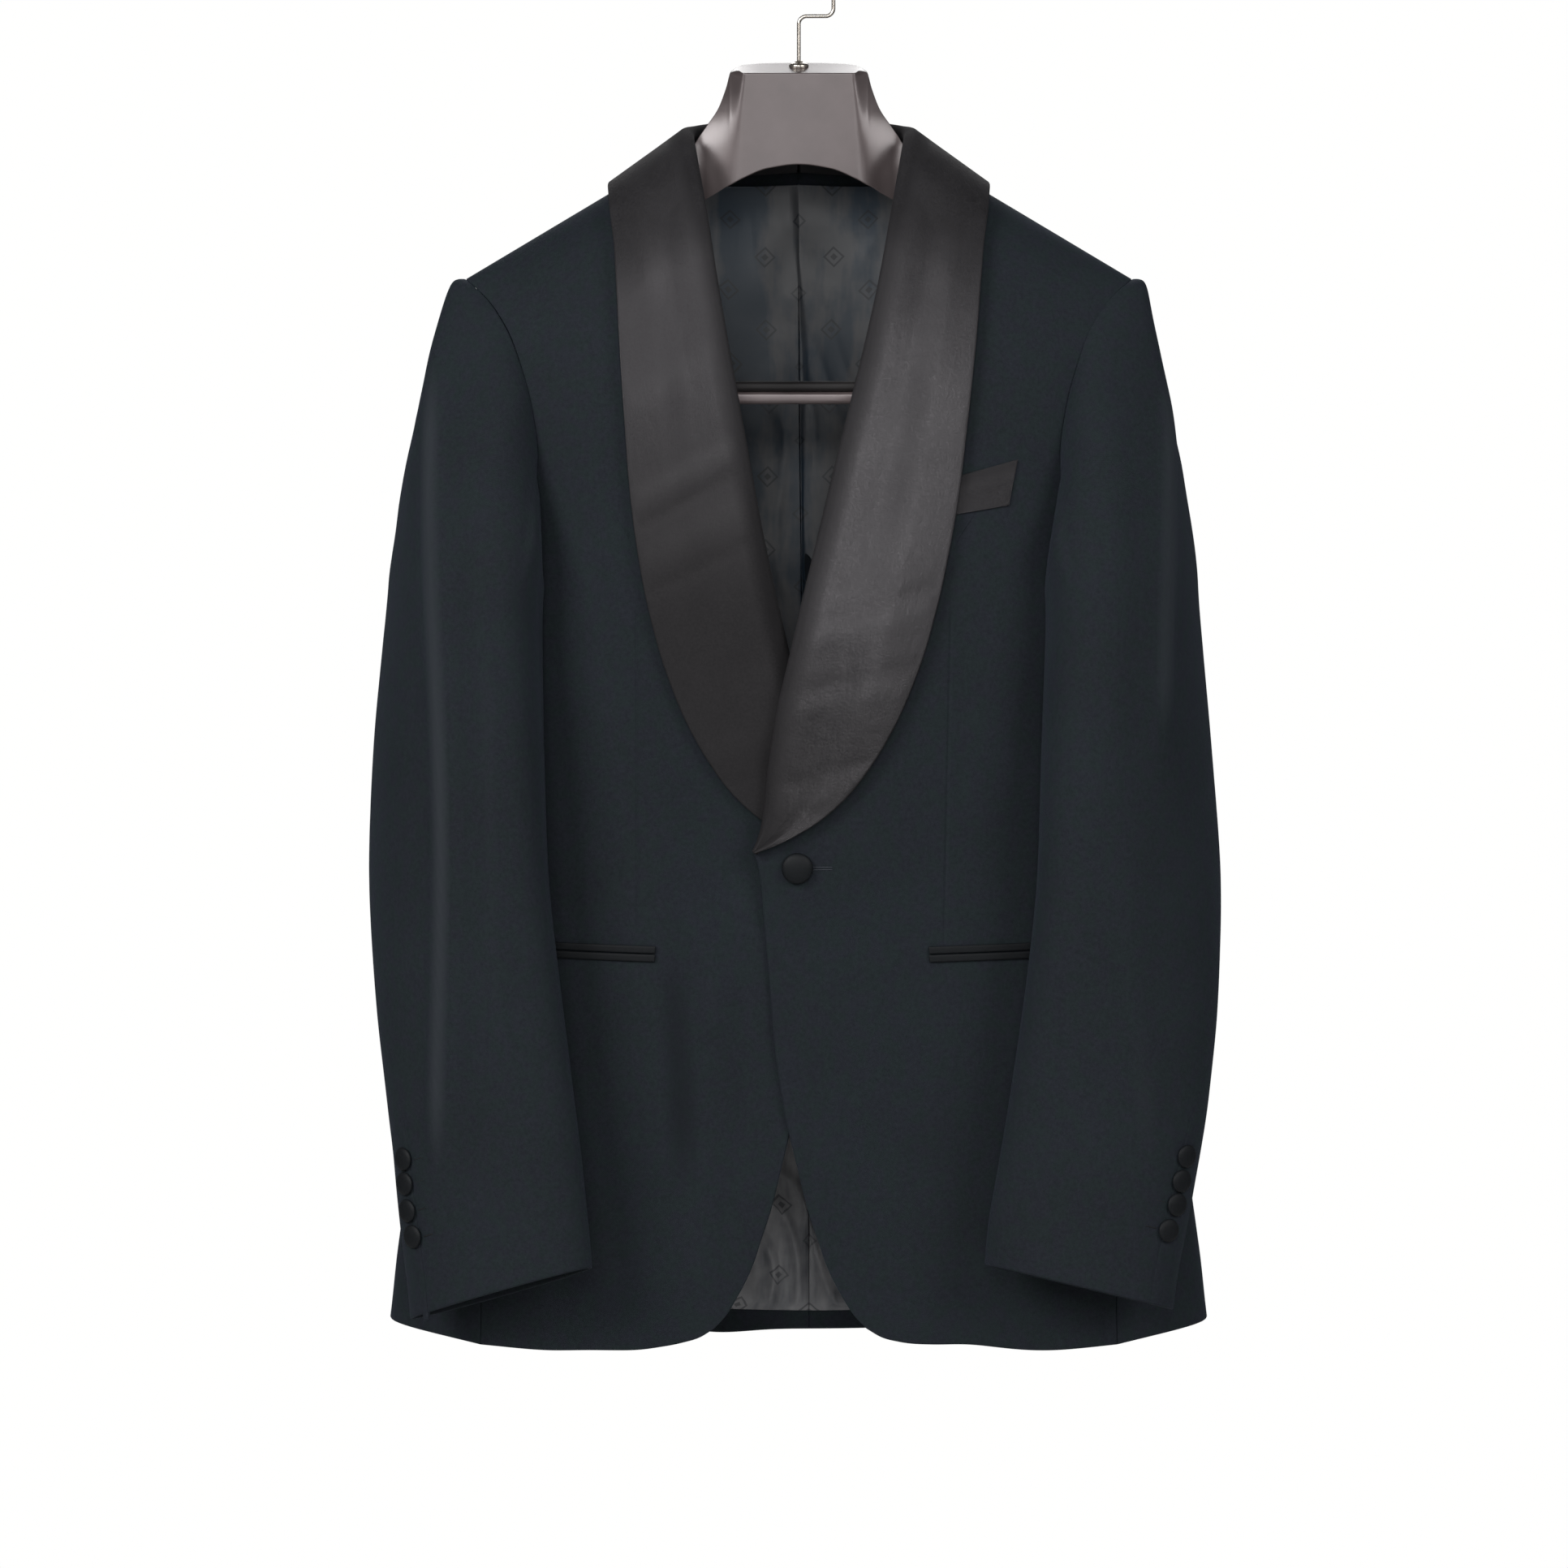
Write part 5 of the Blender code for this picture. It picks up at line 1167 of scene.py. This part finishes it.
def build_sleeve(side):
    """Top sleeve from the back seam over the arm to the front seam, and under sleeve between."""
    for part, low, high in (("sleeve_top", BACK_SEAM, 360.0 + FRONT_SEAM),
                            ("sleeve_under", FRONT_SEAM, BACK_SEAM)):
        degrees = low + (high - low) * marks((high - low) * 0.95, 3.2)
        if low < VENT < high:
            degrees = np.sort(np.concatenate([degrees[np.abs(degrees - VENT + 2.6) > 5.0], VENT + NEAR_VENT]))
        grid = sleeve_grid(side, degrees)
        z = grid[..., 2]
        normals = grid_normals(grid)
        centre = np.stack([side * smooth(z, SLEEVE, 1), smooth(z, SLEEVE, 2), z], -1)
        if np.einsum("ijk,ijk->", normals, grid - centre) < 0:
            normals = -normals
        at_seam = (1 - ease(lengths(grid, 0)[0] / 10.0))[..., None]
        normals = unit(normals + (body_normal(grid[:1]) - normals) * at_seam)
        relief = sleeve_relief(side, grid, normals, degrees)
        middle = grid + normals * (relief - SLEEVE_CLOTH / 2)[..., None]
        wool_sheet(part, side, middle, normals, SLEEVE_CLOTH, (0.8, 1.2, 0.45, 0.45),
                   relief)


for side in (LEFT, RIGHT):
    build_sleeve(side)

# %% [markdown]
# ## Shawl collar
#
# A shawl collar has no notch: one satin strip runs from the middle of the back neck over the shoulder
# and down to the button. Across, the strip is a hairpin. It rises from its root inside the neck, turns
# over at the fold, and falls as the leaf that we see. Along, it is carried by three curves: the fold,
# the outer edge and the root.

# %% The three curves of the collar
# fold x, y, z; edge x, y, z; root x, y, z; share in which the fold lies on the body
STAND = np.array([
    (0, 50, -101, 0, 64, -144, 0, 47, -139, 0),
    (26, 47.5, -101.5, 38, 60, -146, 27, 45, -138.5, 0),
    (48, 36, -103.5, 74, 46, -150, 52, 36, -137, 0),
    (63, 16, -106.5, 104, 24, -153, 72, 18, -134, 0),
    (68.5, -4, -109, 119, -6, -146.0, 84, -3, -131, 0),
    (67.5, -22, -114, 120.5, -30, -150.5, 81, -24, -136, 0),
    (65, -42, -126, 118.8, -50, -166, 76, -44, -147, 0.2),
    (61.5, -58, -145, 117, -64, -182, 73, -58, -160, 0.8),
], dtype=float)
# height on the fold, height on the outer edge
LAPEL = np.array([
    (-168, -204), (-198, -232), (-233, -262), (-272, -296), (-315, -332), (-358, -369), (-402, -410),
    (-442, -449), (-472, -482), (-499, -510), (-521, -530), (-538, -545), (-548, -553.3), (-555, -558.6),
    (-560, -562), (-563.2, -564), (-564.8, -565.1),
], dtype=float)
# height, distance of the fold from the middle
ROLL_LINE = np.array([
    (-565.5, -23.4), (-552, -19.2), (-513, -14.3), (-461, -5.6), (-435, 0.8), (-404, 7.7), (-365, 16.7),
    (-317, 26.8), (-268, 37.3), (-209.5, 49.5), (-150, 60.1), (-124, 65),
], dtype=float)
# height, distance of the outer edge from the middle
LAPEL_EDGE = np.array([
    (-565.5, -23.4), (-559, -7), (-552.8, 5), (-546.2, 16), (-537.8, 28), (-530.2, 35), (-519.4, 44),
    (-503, 55), (-477, 69), (-446, 81), (-404, 92.4), (-363, 100), (-330, 104.5), (-281, 109), (-230, 113),
    (-179, 116.2), (-147, 119),
], dtype=float)
LEAF_LIFT = 2.2  # how far the middle of the leaf lies off the front


def collar_table():
    """Fold, edge and root at each table row, for the right half."""
    fold_z, edge_z = LAPEL[:, 0], LAPEL[:, 1]
    fold_x, edge_x = smooth(fold_z, ROLL_LINE), smooth(edge_z, LAPEL_EDGE)
    fold = np.stack([fold_x, body_y(fold_x, fold_z, -1), fold_z], axis=-1)
    edge = np.stack([edge_x, body_y(edge_x, edge_z, -1), edge_z], axis=-1)
    width = np.linalg.norm(edge - fold, axis=1, keepdims=True)
    root = fold + unit(edge - fold) * np.minimum(14.0, 0.9 * width + 3.0)
    return np.concatenate([STAND, np.concatenate([fold, edge, root, np.ones((len(fold), 1))], axis=1)])


def edge_rise(z):
    """The outer edge stands 2.2 mm further off, and 1 mm more above the lap of the fronts."""
    return 2.2 + ease((z + 440.0) / 70.0)


print("collar rows:", len(collar_table()))


# %% The strip
def collar_strip(side, stations=230, bends=14, leg_steps=56):
    """Middle of the strip: stations along, and across it root, half circle of the fold, leaf."""
    rows = collar_table()
    spacing = np.linalg.norm(np.diff(rows[:, 0:3], axis=0), axis=1)
    spacing = spacing + 0.5 * np.linalg.norm(np.diff(rows[:, 3:6], axis=0), axis=1)
    place = np.concatenate([[0.0], np.cumsum(spacing)])
    at = marks(1.0, 1.0 / stations, near=np.array([0, 0.15, 0.45, 1.0, 1.9, 3.0]) / place[-1]) * place[-1]
    table = np.stack([smooth(at, np.stack([place, rows[:, c]], -1)) for c in range(10)], axis=-1)
    fold, edge, root, lying = table[:, 0:3], table[:, 3:6], table[:, 6:9], np.clip(table[:, 9:], 0, 1)
    for run in (fold, edge, root):
        run[:, 0] *= side
        run[:, 0] += sway(run[:, 0], run[:, 2]) * lying[:, 0]
    rise = [lap_rise(side, run[:, 0], run[:, 2]) for run in (fold, edge, root)]
    fold = fold + lying * (settle(fold, -1.0 + rise[0]) - fold)
    edge = settle(edge, LEAF_LIFT + edge_rise(edge[:, 2]) + rise[1])
    root = settle(root, -4.4 + rise[2])
    width = np.linalg.norm(edge - fold, axis=1, keepdims=True)
    radius = (4.4 - 1.2 * lying) * (0.3 + 0.7 * ease(width / 26.0))
    along = unit(np.gradient(fold, axis=0))
    leg = unit(edge - fold) * (1.0 + 3.0 * lying) + unit(root - fold)
    leg = unit(leg - along * np.einsum("ij,ij->i", leg, along)[:, None])
    out = np.cross(along, leg) * side
    out[0, 0] = 0.0
    centre = fold + leg * (radius + 1.2)
    sweep = pi - 0.45 * lying
    bow = [centre - radius * (out * np.cos(bend) + leg * np.sin(bend))
           for bend in sweep * np.linspace(0, 1, bends + 1)[:, None, None]]
    neck_edge = root + (bow[0] - root) * 0.38
    neck_edge = settle(neck_edge, -4.4 + lap_rise(side, neck_edge[:, 0], neck_edge[:, 2]))
    inner = [root + (neck_edge - root) * s for s in marks(9.0, 2.0, near=np.array([0, 0.2, 0.5, 1.0]))[:-1]]
    inner += [neck_edge + (bow[0] - neck_edge) * s for s in np.linspace(0, 1, 9)[:-1]]
    share = marks(75.0, 75.0 / leg_steps)[6:]
    share = (share - share[0]) / (1 - share[0])
    strip = np.stack(inner + bow + [bow[-1] + (edge - bow[-1]) * s for s in share[1:]], axis=1)
    leaf = strip[:, 1 - len(share):]
    lift = LEAF_LIFT + edge_rise(leaf[..., 2]) * ease((share[1:] - 0.35) / 0.35)
    roll = share[1:] * width / 12.0
    lift = lift + 1.8 * roll * np.exp(1.0 - roll) * lying * ease(width / 40.0)
    strip[:, 1 - len(share):] = settle(leaf, lift + lap_rise(side, leaf[..., 0], leaf[..., 2]), only_out=True)
    strip[0, :, 0] = 0.0
    return strip, len(inner) + len(bow), share[1:]


# where each crease crosses the line 80 mm from the middle, its height and its width
CREASES = {
    LEFT: ((-262, 0.25, 16), (-331, 0.50, 9), (-349, -0.50, 5), (-373, 0.45, 12), (-396, -0.45, 5),
           (-440, -0.25, 22), (-470, -0.3, 12), (-519, 0.40, 11), (-542, -0.35, 8)),
    RIGHT: ((-300, 0.15, 20), (-398, -0.25, 5), (-410, 0.25, 8), (-442, -0.22, 5), (-455, 0.25, 9),
            (-500, -0.25, 6), (-514, 0.3, 9))}
CREASE_SLOPE = {LEFT: 0.5, RIGHT: -0.3}


def satin_relief(side, x, z, share):
    """Creases that run slantwise over the leaf and slow ripples between, calm at the fold and at the edge."""
    calm = ease(share / 0.15) * ease((1 - share) / 0.08) * ease((-150.0 - z) / 60.0)
    slant = z + CREASE_SLOPE[side] * (np.abs(x) - 80.0) + 6.0 * swell(x / 24.0, z / 50.0, 71 + side)
    relief = 0.12 * swell(x / 30.0, z / 40.0, 75 + side) + 0.08 * swell(x / 9.0, z / 15.0, 73 + side)
    for place, height, width in CREASES[side]:
        relief = relief + height * bell(slant - place, width)
    return relief * calm


for side in (LEFT, RIGHT):
    strip, leaf_start, share = collar_strip(side)
    normals = grid_normals(strip)
    leaf = strip[:, leaf_start:]
    if np.einsum("ijk,ijk->", normals[20:, leaf_start:], body_normal(leaf)[20:]) < 0:
        normals = -normals
    crest = np.zeros(strip.shape[:2])
    crest[:, leaf_start:] = satin_relief(side, leaf[..., 0], leaf[..., 2], share)
    strip = strip + normals * crest[..., None]
    normals[0, :, 0] = 0.0
    normals = unit(normals)
    across, along = lengths(strip, 1)[0], lengths(strip, 0)[0]
    uv = np.stack([across - across[:, [leaf_start - 4]], along], axis=-1)
    collar = cloth_wall(f"collar_{NAMES[side]}", strip, normals, COLLAR_CLOTH, (0.4, 1.0, 0.8, 1.3),
                        SATIN[side], uv, crest)
    declare(strip.transpose(1, 0, 2))

# %% [markdown]
# ## Pockets
#
# Each hip pocket is a cut in the front, bound by two narrow satin jets that nearly touch. The breast
# pocket has one slanting band, the welt, whose inner end goes under the lapel. Both are small pads of
# doubled cloth, so they are made as walls with wide rolled edges.


# %% Jets and welt
def front_point(side, girth, z, lift):
    """A point on a front (or past the side seam) at a girth, and the normal there."""
    form = girth_point(side, girth, z)
    x = form[..., 0] + sway(form[..., 0], z)
    y = np.where(np.abs(x) < 200.0, body_y(x, z, -1), form[..., 1])
    form = np.stack([x, y, z], axis=-1)
    normals = body_normal(form)
    lift = lift + lap_rise(side, x, z) + front_relief(side, x, z) * ease((205.0 - np.abs(x)) / 25.0)
    return form + normals * lift[..., None], normals


POCKET_X, POCKET_Z, POCKET_SLOPE = 87.0, -626.5, 0.03
JET_LONG, JET_HIGH, JET_STEP, JET_THICK = 150.0, 4.9, 5.4, 1.5


def build_jets(side):
    """Upper and lower jet, along the girth of the form and parted by a dark line."""
    start = float(girth_at(POCKET_X, POCKET_Z, -1))
    for number, name in enumerate(("upper", "lower")):
        down = marks(JET_HIGH, 0.8, near=(0, 0.12, 0.3, 0.6, 1.0))
        v, u = np.meshgrid(down * JET_HIGH, marks(JET_LONG, 2.5) * JET_LONG, indexing="ij")
        z = POCKET_Z + POCKET_SLOPE * u - number * JET_STEP - v
        middle, normals = front_point(side, start + u, z, PANEL / 2 + 0 * u)
        cloth_wall(f"jet_{name}_{NAMES[side]}", middle, normals, JET_THICK, (1.2, 1.0, 0.5, 0.5),
                   BUTTON_SATIN, np.stack([v, u], -1))


for side in (LEFT, RIGHT):
    build_jets(side)

# the welt's corners, across and up: upper inner, upper outer, lower outer, lower inner
WELT = [np.array(corner) for corner in ((84.0, -330.2), (138.6, -315.4), (133.0, -344.7), (79.0, -353.6))]
WELT_LONG, WELT_HIGH, WELT_THICK, WELT_LIFT = 56.0, 30.0, 1.2, 0.9
v, u = np.meshgrid(marks(WELT_HIGH, 1.6), marks(WELT_LONG, 1.6), indexing="ij")
upper, lower = [start + (stop - start) * u[..., None] for start, stop in (WELT[:2], WELT[:1:-1])]
plan = upper + (lower - upper) * v[..., None]
x, z = plan[..., 0], plan[..., 1]
form = np.stack([x, body_y(x, z, -1), z], axis=-1)
normals = body_normal(form)
middle = form + normals * (WELT_LIFT + lap_rise(RIGHT, x, z) + front_relief(RIGHT, x, z))[..., None]
cloth_wall("welt_breast", middle, normals, WELT_THICK, (0.9, 0.5, 0.8, 0.8), SATIN[RIGHT],
           np.stack([WELT_HIGH * v, WELT_LONG * u], -1))
print("welt and jets made")

# %% [markdown]
# ## Buttons
#
# A covered button is a metal dome with satin drawn over it. One profile turned round its axis gives it:
# a low dome, a round rim, and the shell's foot on the cloth. The satin's pull shows as faint rays at the
# rim. Beside each button a short row of stitches shows its buttonhole, in dark thread on the cuffs and in
# a paler one on the front.


# %% Covered buttons
def put_button(name, radius, height, place, normal, count=20, around=48):
    """A covered button of a radius and a height on a place of the cloth. Its profile bends through
    0.8 pi: up to half pi it is the dome, and past that it draws in to the foot."""
    s = np.linspace(0, 1, count)[1:, None]
    bend = s * 0.80 * pi
    foot, down = bend > pi / 2, (bend - pi / 2) / (0.30 * pi)
    r = radius * np.where(foot, 1.0 - 0.34 * (1 - np.sin(bend)), np.sin(np.minimum(bend, pi / 2)) ** 0.9)
    h = height * np.where(foot, 0.36 * (1.0 - down), 0.36 + 0.64 * np.abs(np.cos(bend)))
    angle = np.linspace(0, 2 * pi, around, endpoint=False)
    pull = 1.0 + 0.004 * np.cos(18 * angle) * ease((s - 0.35) / 0.3)
    rings = np.stack([r * pull * np.cos(angle), r * pull * np.sin(angle), h + 0 * angle], axis=-1)
    turn = np.array(Vector(normal).to_track_quat("Z", "Y").to_matrix()).T
    put_loft(name, place + rings @ turn, BUTTON_SATIN, name,
             poles=place + np.array([(0, 0, height), (0, 0, 0)]) @ turn, uv=rings[..., :2])


x, z = -1.0, -575.2
place = np.array([x, float(body_y(x, z, -1)), z])
normal = body_normal(place)
put_button("button_front", 10.0, 5.2, place + normal * (0.3 + float(lap_rise(RIGHT, x, z))), normal, 26, 72)

# height and angle round the cuff of each button
CUFF_BUTTONS = {LEFT: ((-761.1, 306.5), (-776.8, 305.0), (-794.0, 304.2), (-810.1, 306.6)),
                RIGHT: ((-758.0, 307.7), (-773.7, 306.6), (-788.6, 306.1), (-804.7, 309.0))}


def forward(normal):
    """A normal of length 1, turned to the front."""
    return unit(normal) * -np.sign(normal[1])


for side in (LEFT, RIGHT):
    for number, (z, angle) in enumerate(CUFF_BUTTONS[side], start=1):
        grid = sleeve_grid(side, angle + np.array([-1.0, 0.0, 1.0]))
        row = int(np.argmin(np.abs(grid[:, 1, 2] - z)))
        normal = forward(np.cross(grid[row, 2] - grid[row, 0], grid[row - 2, 1] - grid[row + 2, 1]))
        share = (z - grid[row, 1, 2]) / (grid[row + 1, 1, 2] - grid[row, 1, 2])
        place = grid[row, 1] + share * (grid[row + 1, 1] - grid[row, 1])
        put_button(f"button_cuff_{NAMES[side]}_{number}", 7.5, 3.45, place + normal * 0.55, normal)


# %% Buttonholes
def stitched(name, ends, normal, radius, material):
    """A short row of stitches between two ends: a tube whose radius swells at each stitch, sunk by half."""
    s = np.linspace(0, 1, 25)
    path = ends[0] + (ends[1] - ends[0]) * s[:, None]
    along, normal = unit(np.gradient(path, axis=0)), unit(normal)
    across, taper = unit(np.cross(along, normal)), np.sqrt(np.clip(1 - (2 * s - 1) ** 8, 0.02, 1))
    size = (radius * (0.75 + 0.25 * np.abs(np.sin(6 * pi * s))) * taper)[:, None, None]
    turn = np.linspace(0, 2 * pi, 10, endpoint=False)[None, :, None]
    rings = path[:, None] + size * (across[:, None] * np.cos(turn) + normal * np.sin(turn))
    put_loft(name, rings, material)


for side in (LEFT, RIGHT):
    for number, (z, angle) in enumerate(CUFF_BUTTONS[side], start=1):
        grid = sleeve_grid(side, angle + np.array([9.0, 10.0, 18.5, 19.5]))
        row = [int(np.argmin(np.abs(grid[:, k, 2] - z - rise))) for k, rise in ((1, 1.0), (2, 2.8))]
        ends = np.stack([grid[row[0], 1], grid[row[1], 2]])
        normal = forward(np.cross(ends[1] - ends[0], (0.0, 0.0, 1.0)))
        stitched(f"buttonhole_{NAMES[side]}_{number}", ends + normal * 0.15, normal, 0.55, THREAD)
x, z = np.array([7.5, 21.5]), np.array([-575.6, -575.6])
form = np.stack([x, body_y(x, z, -1), z], axis=-1)
normals = body_normal(form)
place = form + normals * (lap_rise(RIGHT, x, z) + front_relief(RIGHT, x, z) + 0.05)[..., None]
for number, drop in ((1, 0.8), (2, -0.8)):
    stitched(f"buttonhole_front_{number}", place - (0.0, 0.0, drop), normals[0], 0.4, PALE_THREAD)
print("buttons: 1 front,", sum(map(len, CUFF_BUTTONS.values())), "cuff, each with its buttonhole")

# %% [markdown]
# ## Hanger
#
# A broad shaped hanger of moulded plastic under pearly lacquer. It is a loft of level-sided rounded
# boxes from one arm's end to the other. In the middle it rises to a hub with a flat front between two
# ridges, and past the neck the arms take the shape of the shoulders, just inside the cloth.

# %% Sizes of the hanger
# x, top, bottom, depth forward, depth behind
HANGER = np.array([
    (0, -65, -130, 14, 12), (20, -65.3, -132.6, 14, 10.5), (36, -66.5, -139, 14, 6),
    (43.5, -70.5, -143, 14, 4), (46.6, -81, -144.5, 14, 5), (51.8, -94.5, -147.8, 14, 6.5),
    (59.5, -106, -152.3, 14.5, 7), (67.3, -117.5, -156.5, 16, 7), (74, -130.5, -159.5, 17.5, 10),
    (86, -139.5, -164, 20, 16), (104, -142.2, -172, 22.5, 22.5), (130, -157.2, -187, 24, 24),
    (160, -175, -204, 25, 25), (180, -187, -213, 23, 23), (189, -194, -213, 17, 17), (193, -199, -210, 9, 9),
], dtype=float)


def firm(x, table, column):
    """A column of a table between its rows, without overshoot: slopes are harmonic means, and level at
    the first row."""
    xs, ys = table[:, 0], table[:, column]
    steps = np.diff(ys) / np.diff(xs)
    both = steps[:-1] * steps[1:]
    inner = np.where(both > 0, 2 * both / np.where(both > 0, steps[:-1] + steps[1:], 1.0), 0.0)
    return through(x, xs, ys, np.concatenate([[0.0], inner, [steps[-1]]]))


print("hanger width:", 2 * HANGER[-1, 0], "mm")

# %% The loft of the hanger
# The ridge (arris) between front and facet: how far out it starts, how much further out it leans over a drop,
# and the height of the front's top edge.
ARRIS, ARRIS_SPREAD, ARRIS_DROP, FRONT_RIM = 36.0, 7.6, 72.0, -71.7
column = np.concatenate([
    np.linspace(0, ARRIS, 31), np.linspace(ARRIS, 60, 61)[1:], np.linspace(60, 80, 31)[1:],
    np.linspace(80, 186, 70)[1:], 193 - 7 * np.linspace(1, 0, 14)[1:] ** 2,
])
column = np.concatenate([-column[:0:-1], column])[:, None]
turn = np.linspace(0, 2 * pi, 136, endpoint=False)[None, :]
turn = turn + 0.18 * np.sin(4 * turn)


def section(far):
    """Breadth and height shares round a section: a square at the hub, a soft oval along the arms."""
    hub = 1.0 - ease((far - 60.0) / 30.0)
    c, s = np.cos(turn), np.sin(turn)
    reach = np.maximum(np.abs(c), np.abs(s))
    across = hub * c / reach + (1 - hub) * np.sign(c) * np.abs(c) ** 0.75
    up = hub * s / reach + (1 - hub) * np.sign(s) * np.abs(s) ** 0.75
    return hub, across, up


def level(far, up):
    """Height of the points of a section between the bottom and the top of the hanger."""
    top, bottom = firm(far, HANGER, 1), firm(far, HANGER, 2)
    return (top + bottom) / 2 + (top - bottom) / 2 * up


# The arris between the front and a facet leans outwards, and the columns of points lean with it.
far = np.abs(column)
hub, across, up = section(far)
lean = np.where(far < ARRIS, ease(far / ARRIS), 1 - ease((far - ARRIS) / 30.0))
for _ in range(2):
    arris = ARRIS + ARRIS_SPREAD * np.clip((FRONT_RIM - level(far, up)) / ARRIS_DROP, 0, 1)
    far = np.abs(column) + (arris - ARRIS) * lean
hub, across, up = section(far)
z = level(far, up)
x = np.sign(column) * far
ahead, behind = firm(far, HANGER, 3), firm(far, HANGER, 4)
brim = np.interp(-z, -HANGER[2:9, 1], HANGER[2:9, 0])
beyond = (far - arris) / np.maximum(brim + 3.0 - arris, 4.0)
beyond = (beyond + np.sqrt(beyond ** 2 + 0.02)) / 2 - 0.035
ahead = ahead - (ahead - 2.0) * np.clip(beyond, 0, 1) * hub
off = np.where(across < 0, ahead, behind) * across
fall = np.clip(firm(far, HANGER, 1) - FRONT_RIM, 0, None) * np.clip((6.0 - off) / 20.0, 0, 1)
z = z - hub * fall * np.clip((up + 1) / 2, 0, 1)
y = middle_y(x, shoulder_z(x)) + off
points = np.stack([x, y, z], axis=-1)
lined = np.maximum(ease((off - 4.0) / 10.0), ease((far - 160.0) / 12.0))
fitted = settle(points, -(2.9 + 3.3 * lined), only_in=True)
points = points + (fitted - points) * ease((far - 92.0) / 6.0)[..., None]
put_loft("hanger_body", points, LACQUER, "hanger_body")
print("hanger loft:", points.shape[:2])


# %% Hook, ferrule, bar and posts
def arc(centre_x, centre_z, radius, start, end, count):
    """Points on an arc in the hook's plane, angles in degrees."""
    angle = np.radians(np.linspace(start, end, count))
    return np.stack([centre_x + radius * np.cos(angle), centre_z + radius * np.sin(angle)], -1)


def wire(path, radius, around=24):
    """Rings round a level path, each square to it, with round ends."""
    along = unit(np.gradient(path, axis=0))
    square = np.stack([-along[:, 1], along[:, 0]], -1)
    turn = np.linspace(0, 2 * pi, around, endpoint=False)
    flat = path[:, None] + radius[:, None, None] * square[:, None] * np.cos(turn)[None, :, None]
    return np.stack([flat[..., 0], radius[:, None] * np.sin(turn)[None, :], flat[..., 1]], -1)


WIRE = 1.25
path = np.concatenate([
    np.stack([np.zeros(12), np.linspace(-65.5, -41.0, 12)], -1),
    arc(5.0, -40.4, 5.0, 180, 90, 14), arc(17.2, -30.4, 5.0, -90, 0, 14)[1:],
    arc(0.0, WIRE - 22.2, 22.2, 0, 182, 110),
])
tip = np.array([0.4, 0.75, 1.0, 1.15])
end = path[-1] - path[-2]
path = np.concatenate([path, path[-1:] + unit(end) * tip[:, None]])
radius = np.full(len(path), WIRE)
radius[-4:] = WIRE * np.sqrt(1 - (tip / WIRE) ** 2)
put_loft("hanger_hook", wire(path, radius), METAL, "hanger_hook")

# radius and height of the ferrule's profile, from its top to its foot
FERRULE = np.array([
    (1.3, -63.9), (2.1, -64.0), (2.7, -64.4), (3.2, -65.0), (4.4, -65.3), (5.6, -65.8), (6.3, -66.6),
    (6.4, -67.6), (6.0, -68.8), (5.2, -69.6),
])
turn = np.linspace(0, 2 * pi, 48, endpoint=False)
out, up = FERRULE[:, :1], FERRULE[:, 1:]
rings = np.stack([out * np.cos(turn), out * np.sin(turn), up + 0 * turn], -1)
put_loft("hanger_ferrule", rings, METAL, "hanger_ferrule")


def rounded_bar(low, high, bevel, axis):
    """Rings of a box with rounded edges along an axis: a rounded rectangle that shrinks at both ends."""
    low, high = np.array(low, float), np.array(high, float)
    others = [k for k in range(3) if k != axis]
    bend = np.linspace(0, pi / 2, 7)
    draw_in = bevel * (1 - np.cos(bend))
    along = np.concatenate([low[axis] + draw_in, high[axis] - draw_in[::-1]])
    inset = bevel * (1 - np.sin(bend))
    inset = np.concatenate([inset, inset[::-1]])
    corner = np.concatenate([np.linspace(0, pi / 2, 7) + k * pi / 2 for k in range(4)])
    sign_a, sign_b = np.repeat([1, -1, -1, 1], 7), np.repeat([1, 1, -1, -1], 7)
    half = (high - low)[others] / 2
    rings = np.zeros((len(along), len(corner), 3))
    rings[..., axis] = along[:, None]
    for k, sign, round_part in ((0, sign_a, np.cos(corner)), (1, sign_b, np.sin(corner))):
        centre = (low + high)[others[k]] / 2
        rings[..., others[k]] = centre + sign * (half[k] - bevel) + (bevel - inset)[:, None] * round_part
    return rings


bar = rounded_bar((-155.7, -20.5, -283.4), (155.7, -5.5, -275.4), 2.5, 0)
grip = rounded_bar((-150.7, -20.5, -275.1), (150.7, -5.5, -269.0), 2.4, 0)
# the bar gets the lighter copy of the lacquer, as painted light
put_loft("hanger_bar", bar, LIT_BAR_LACQUER, "hanger_bar")
put_loft("hanger_bar_grip", grip, FLOCK, "hanger_bar_grip")
POST_X = 160
under_arm = np.interp(POST_X + 2.5, HANGER[:, 0], HANGER[:, 2]) - 0.3
for side in (LEFT, RIGHT):
    post = rounded_bar((side * POST_X - 4, -20, -283.4), (side * POST_X + 4, -6, under_arm), 1.5, 2)
    put_loft(f"hanger_post_{NAMES[side]}", post, LACQUER, f"hanger_post_{NAMES[side]}")
print("hook path points:", len(path))
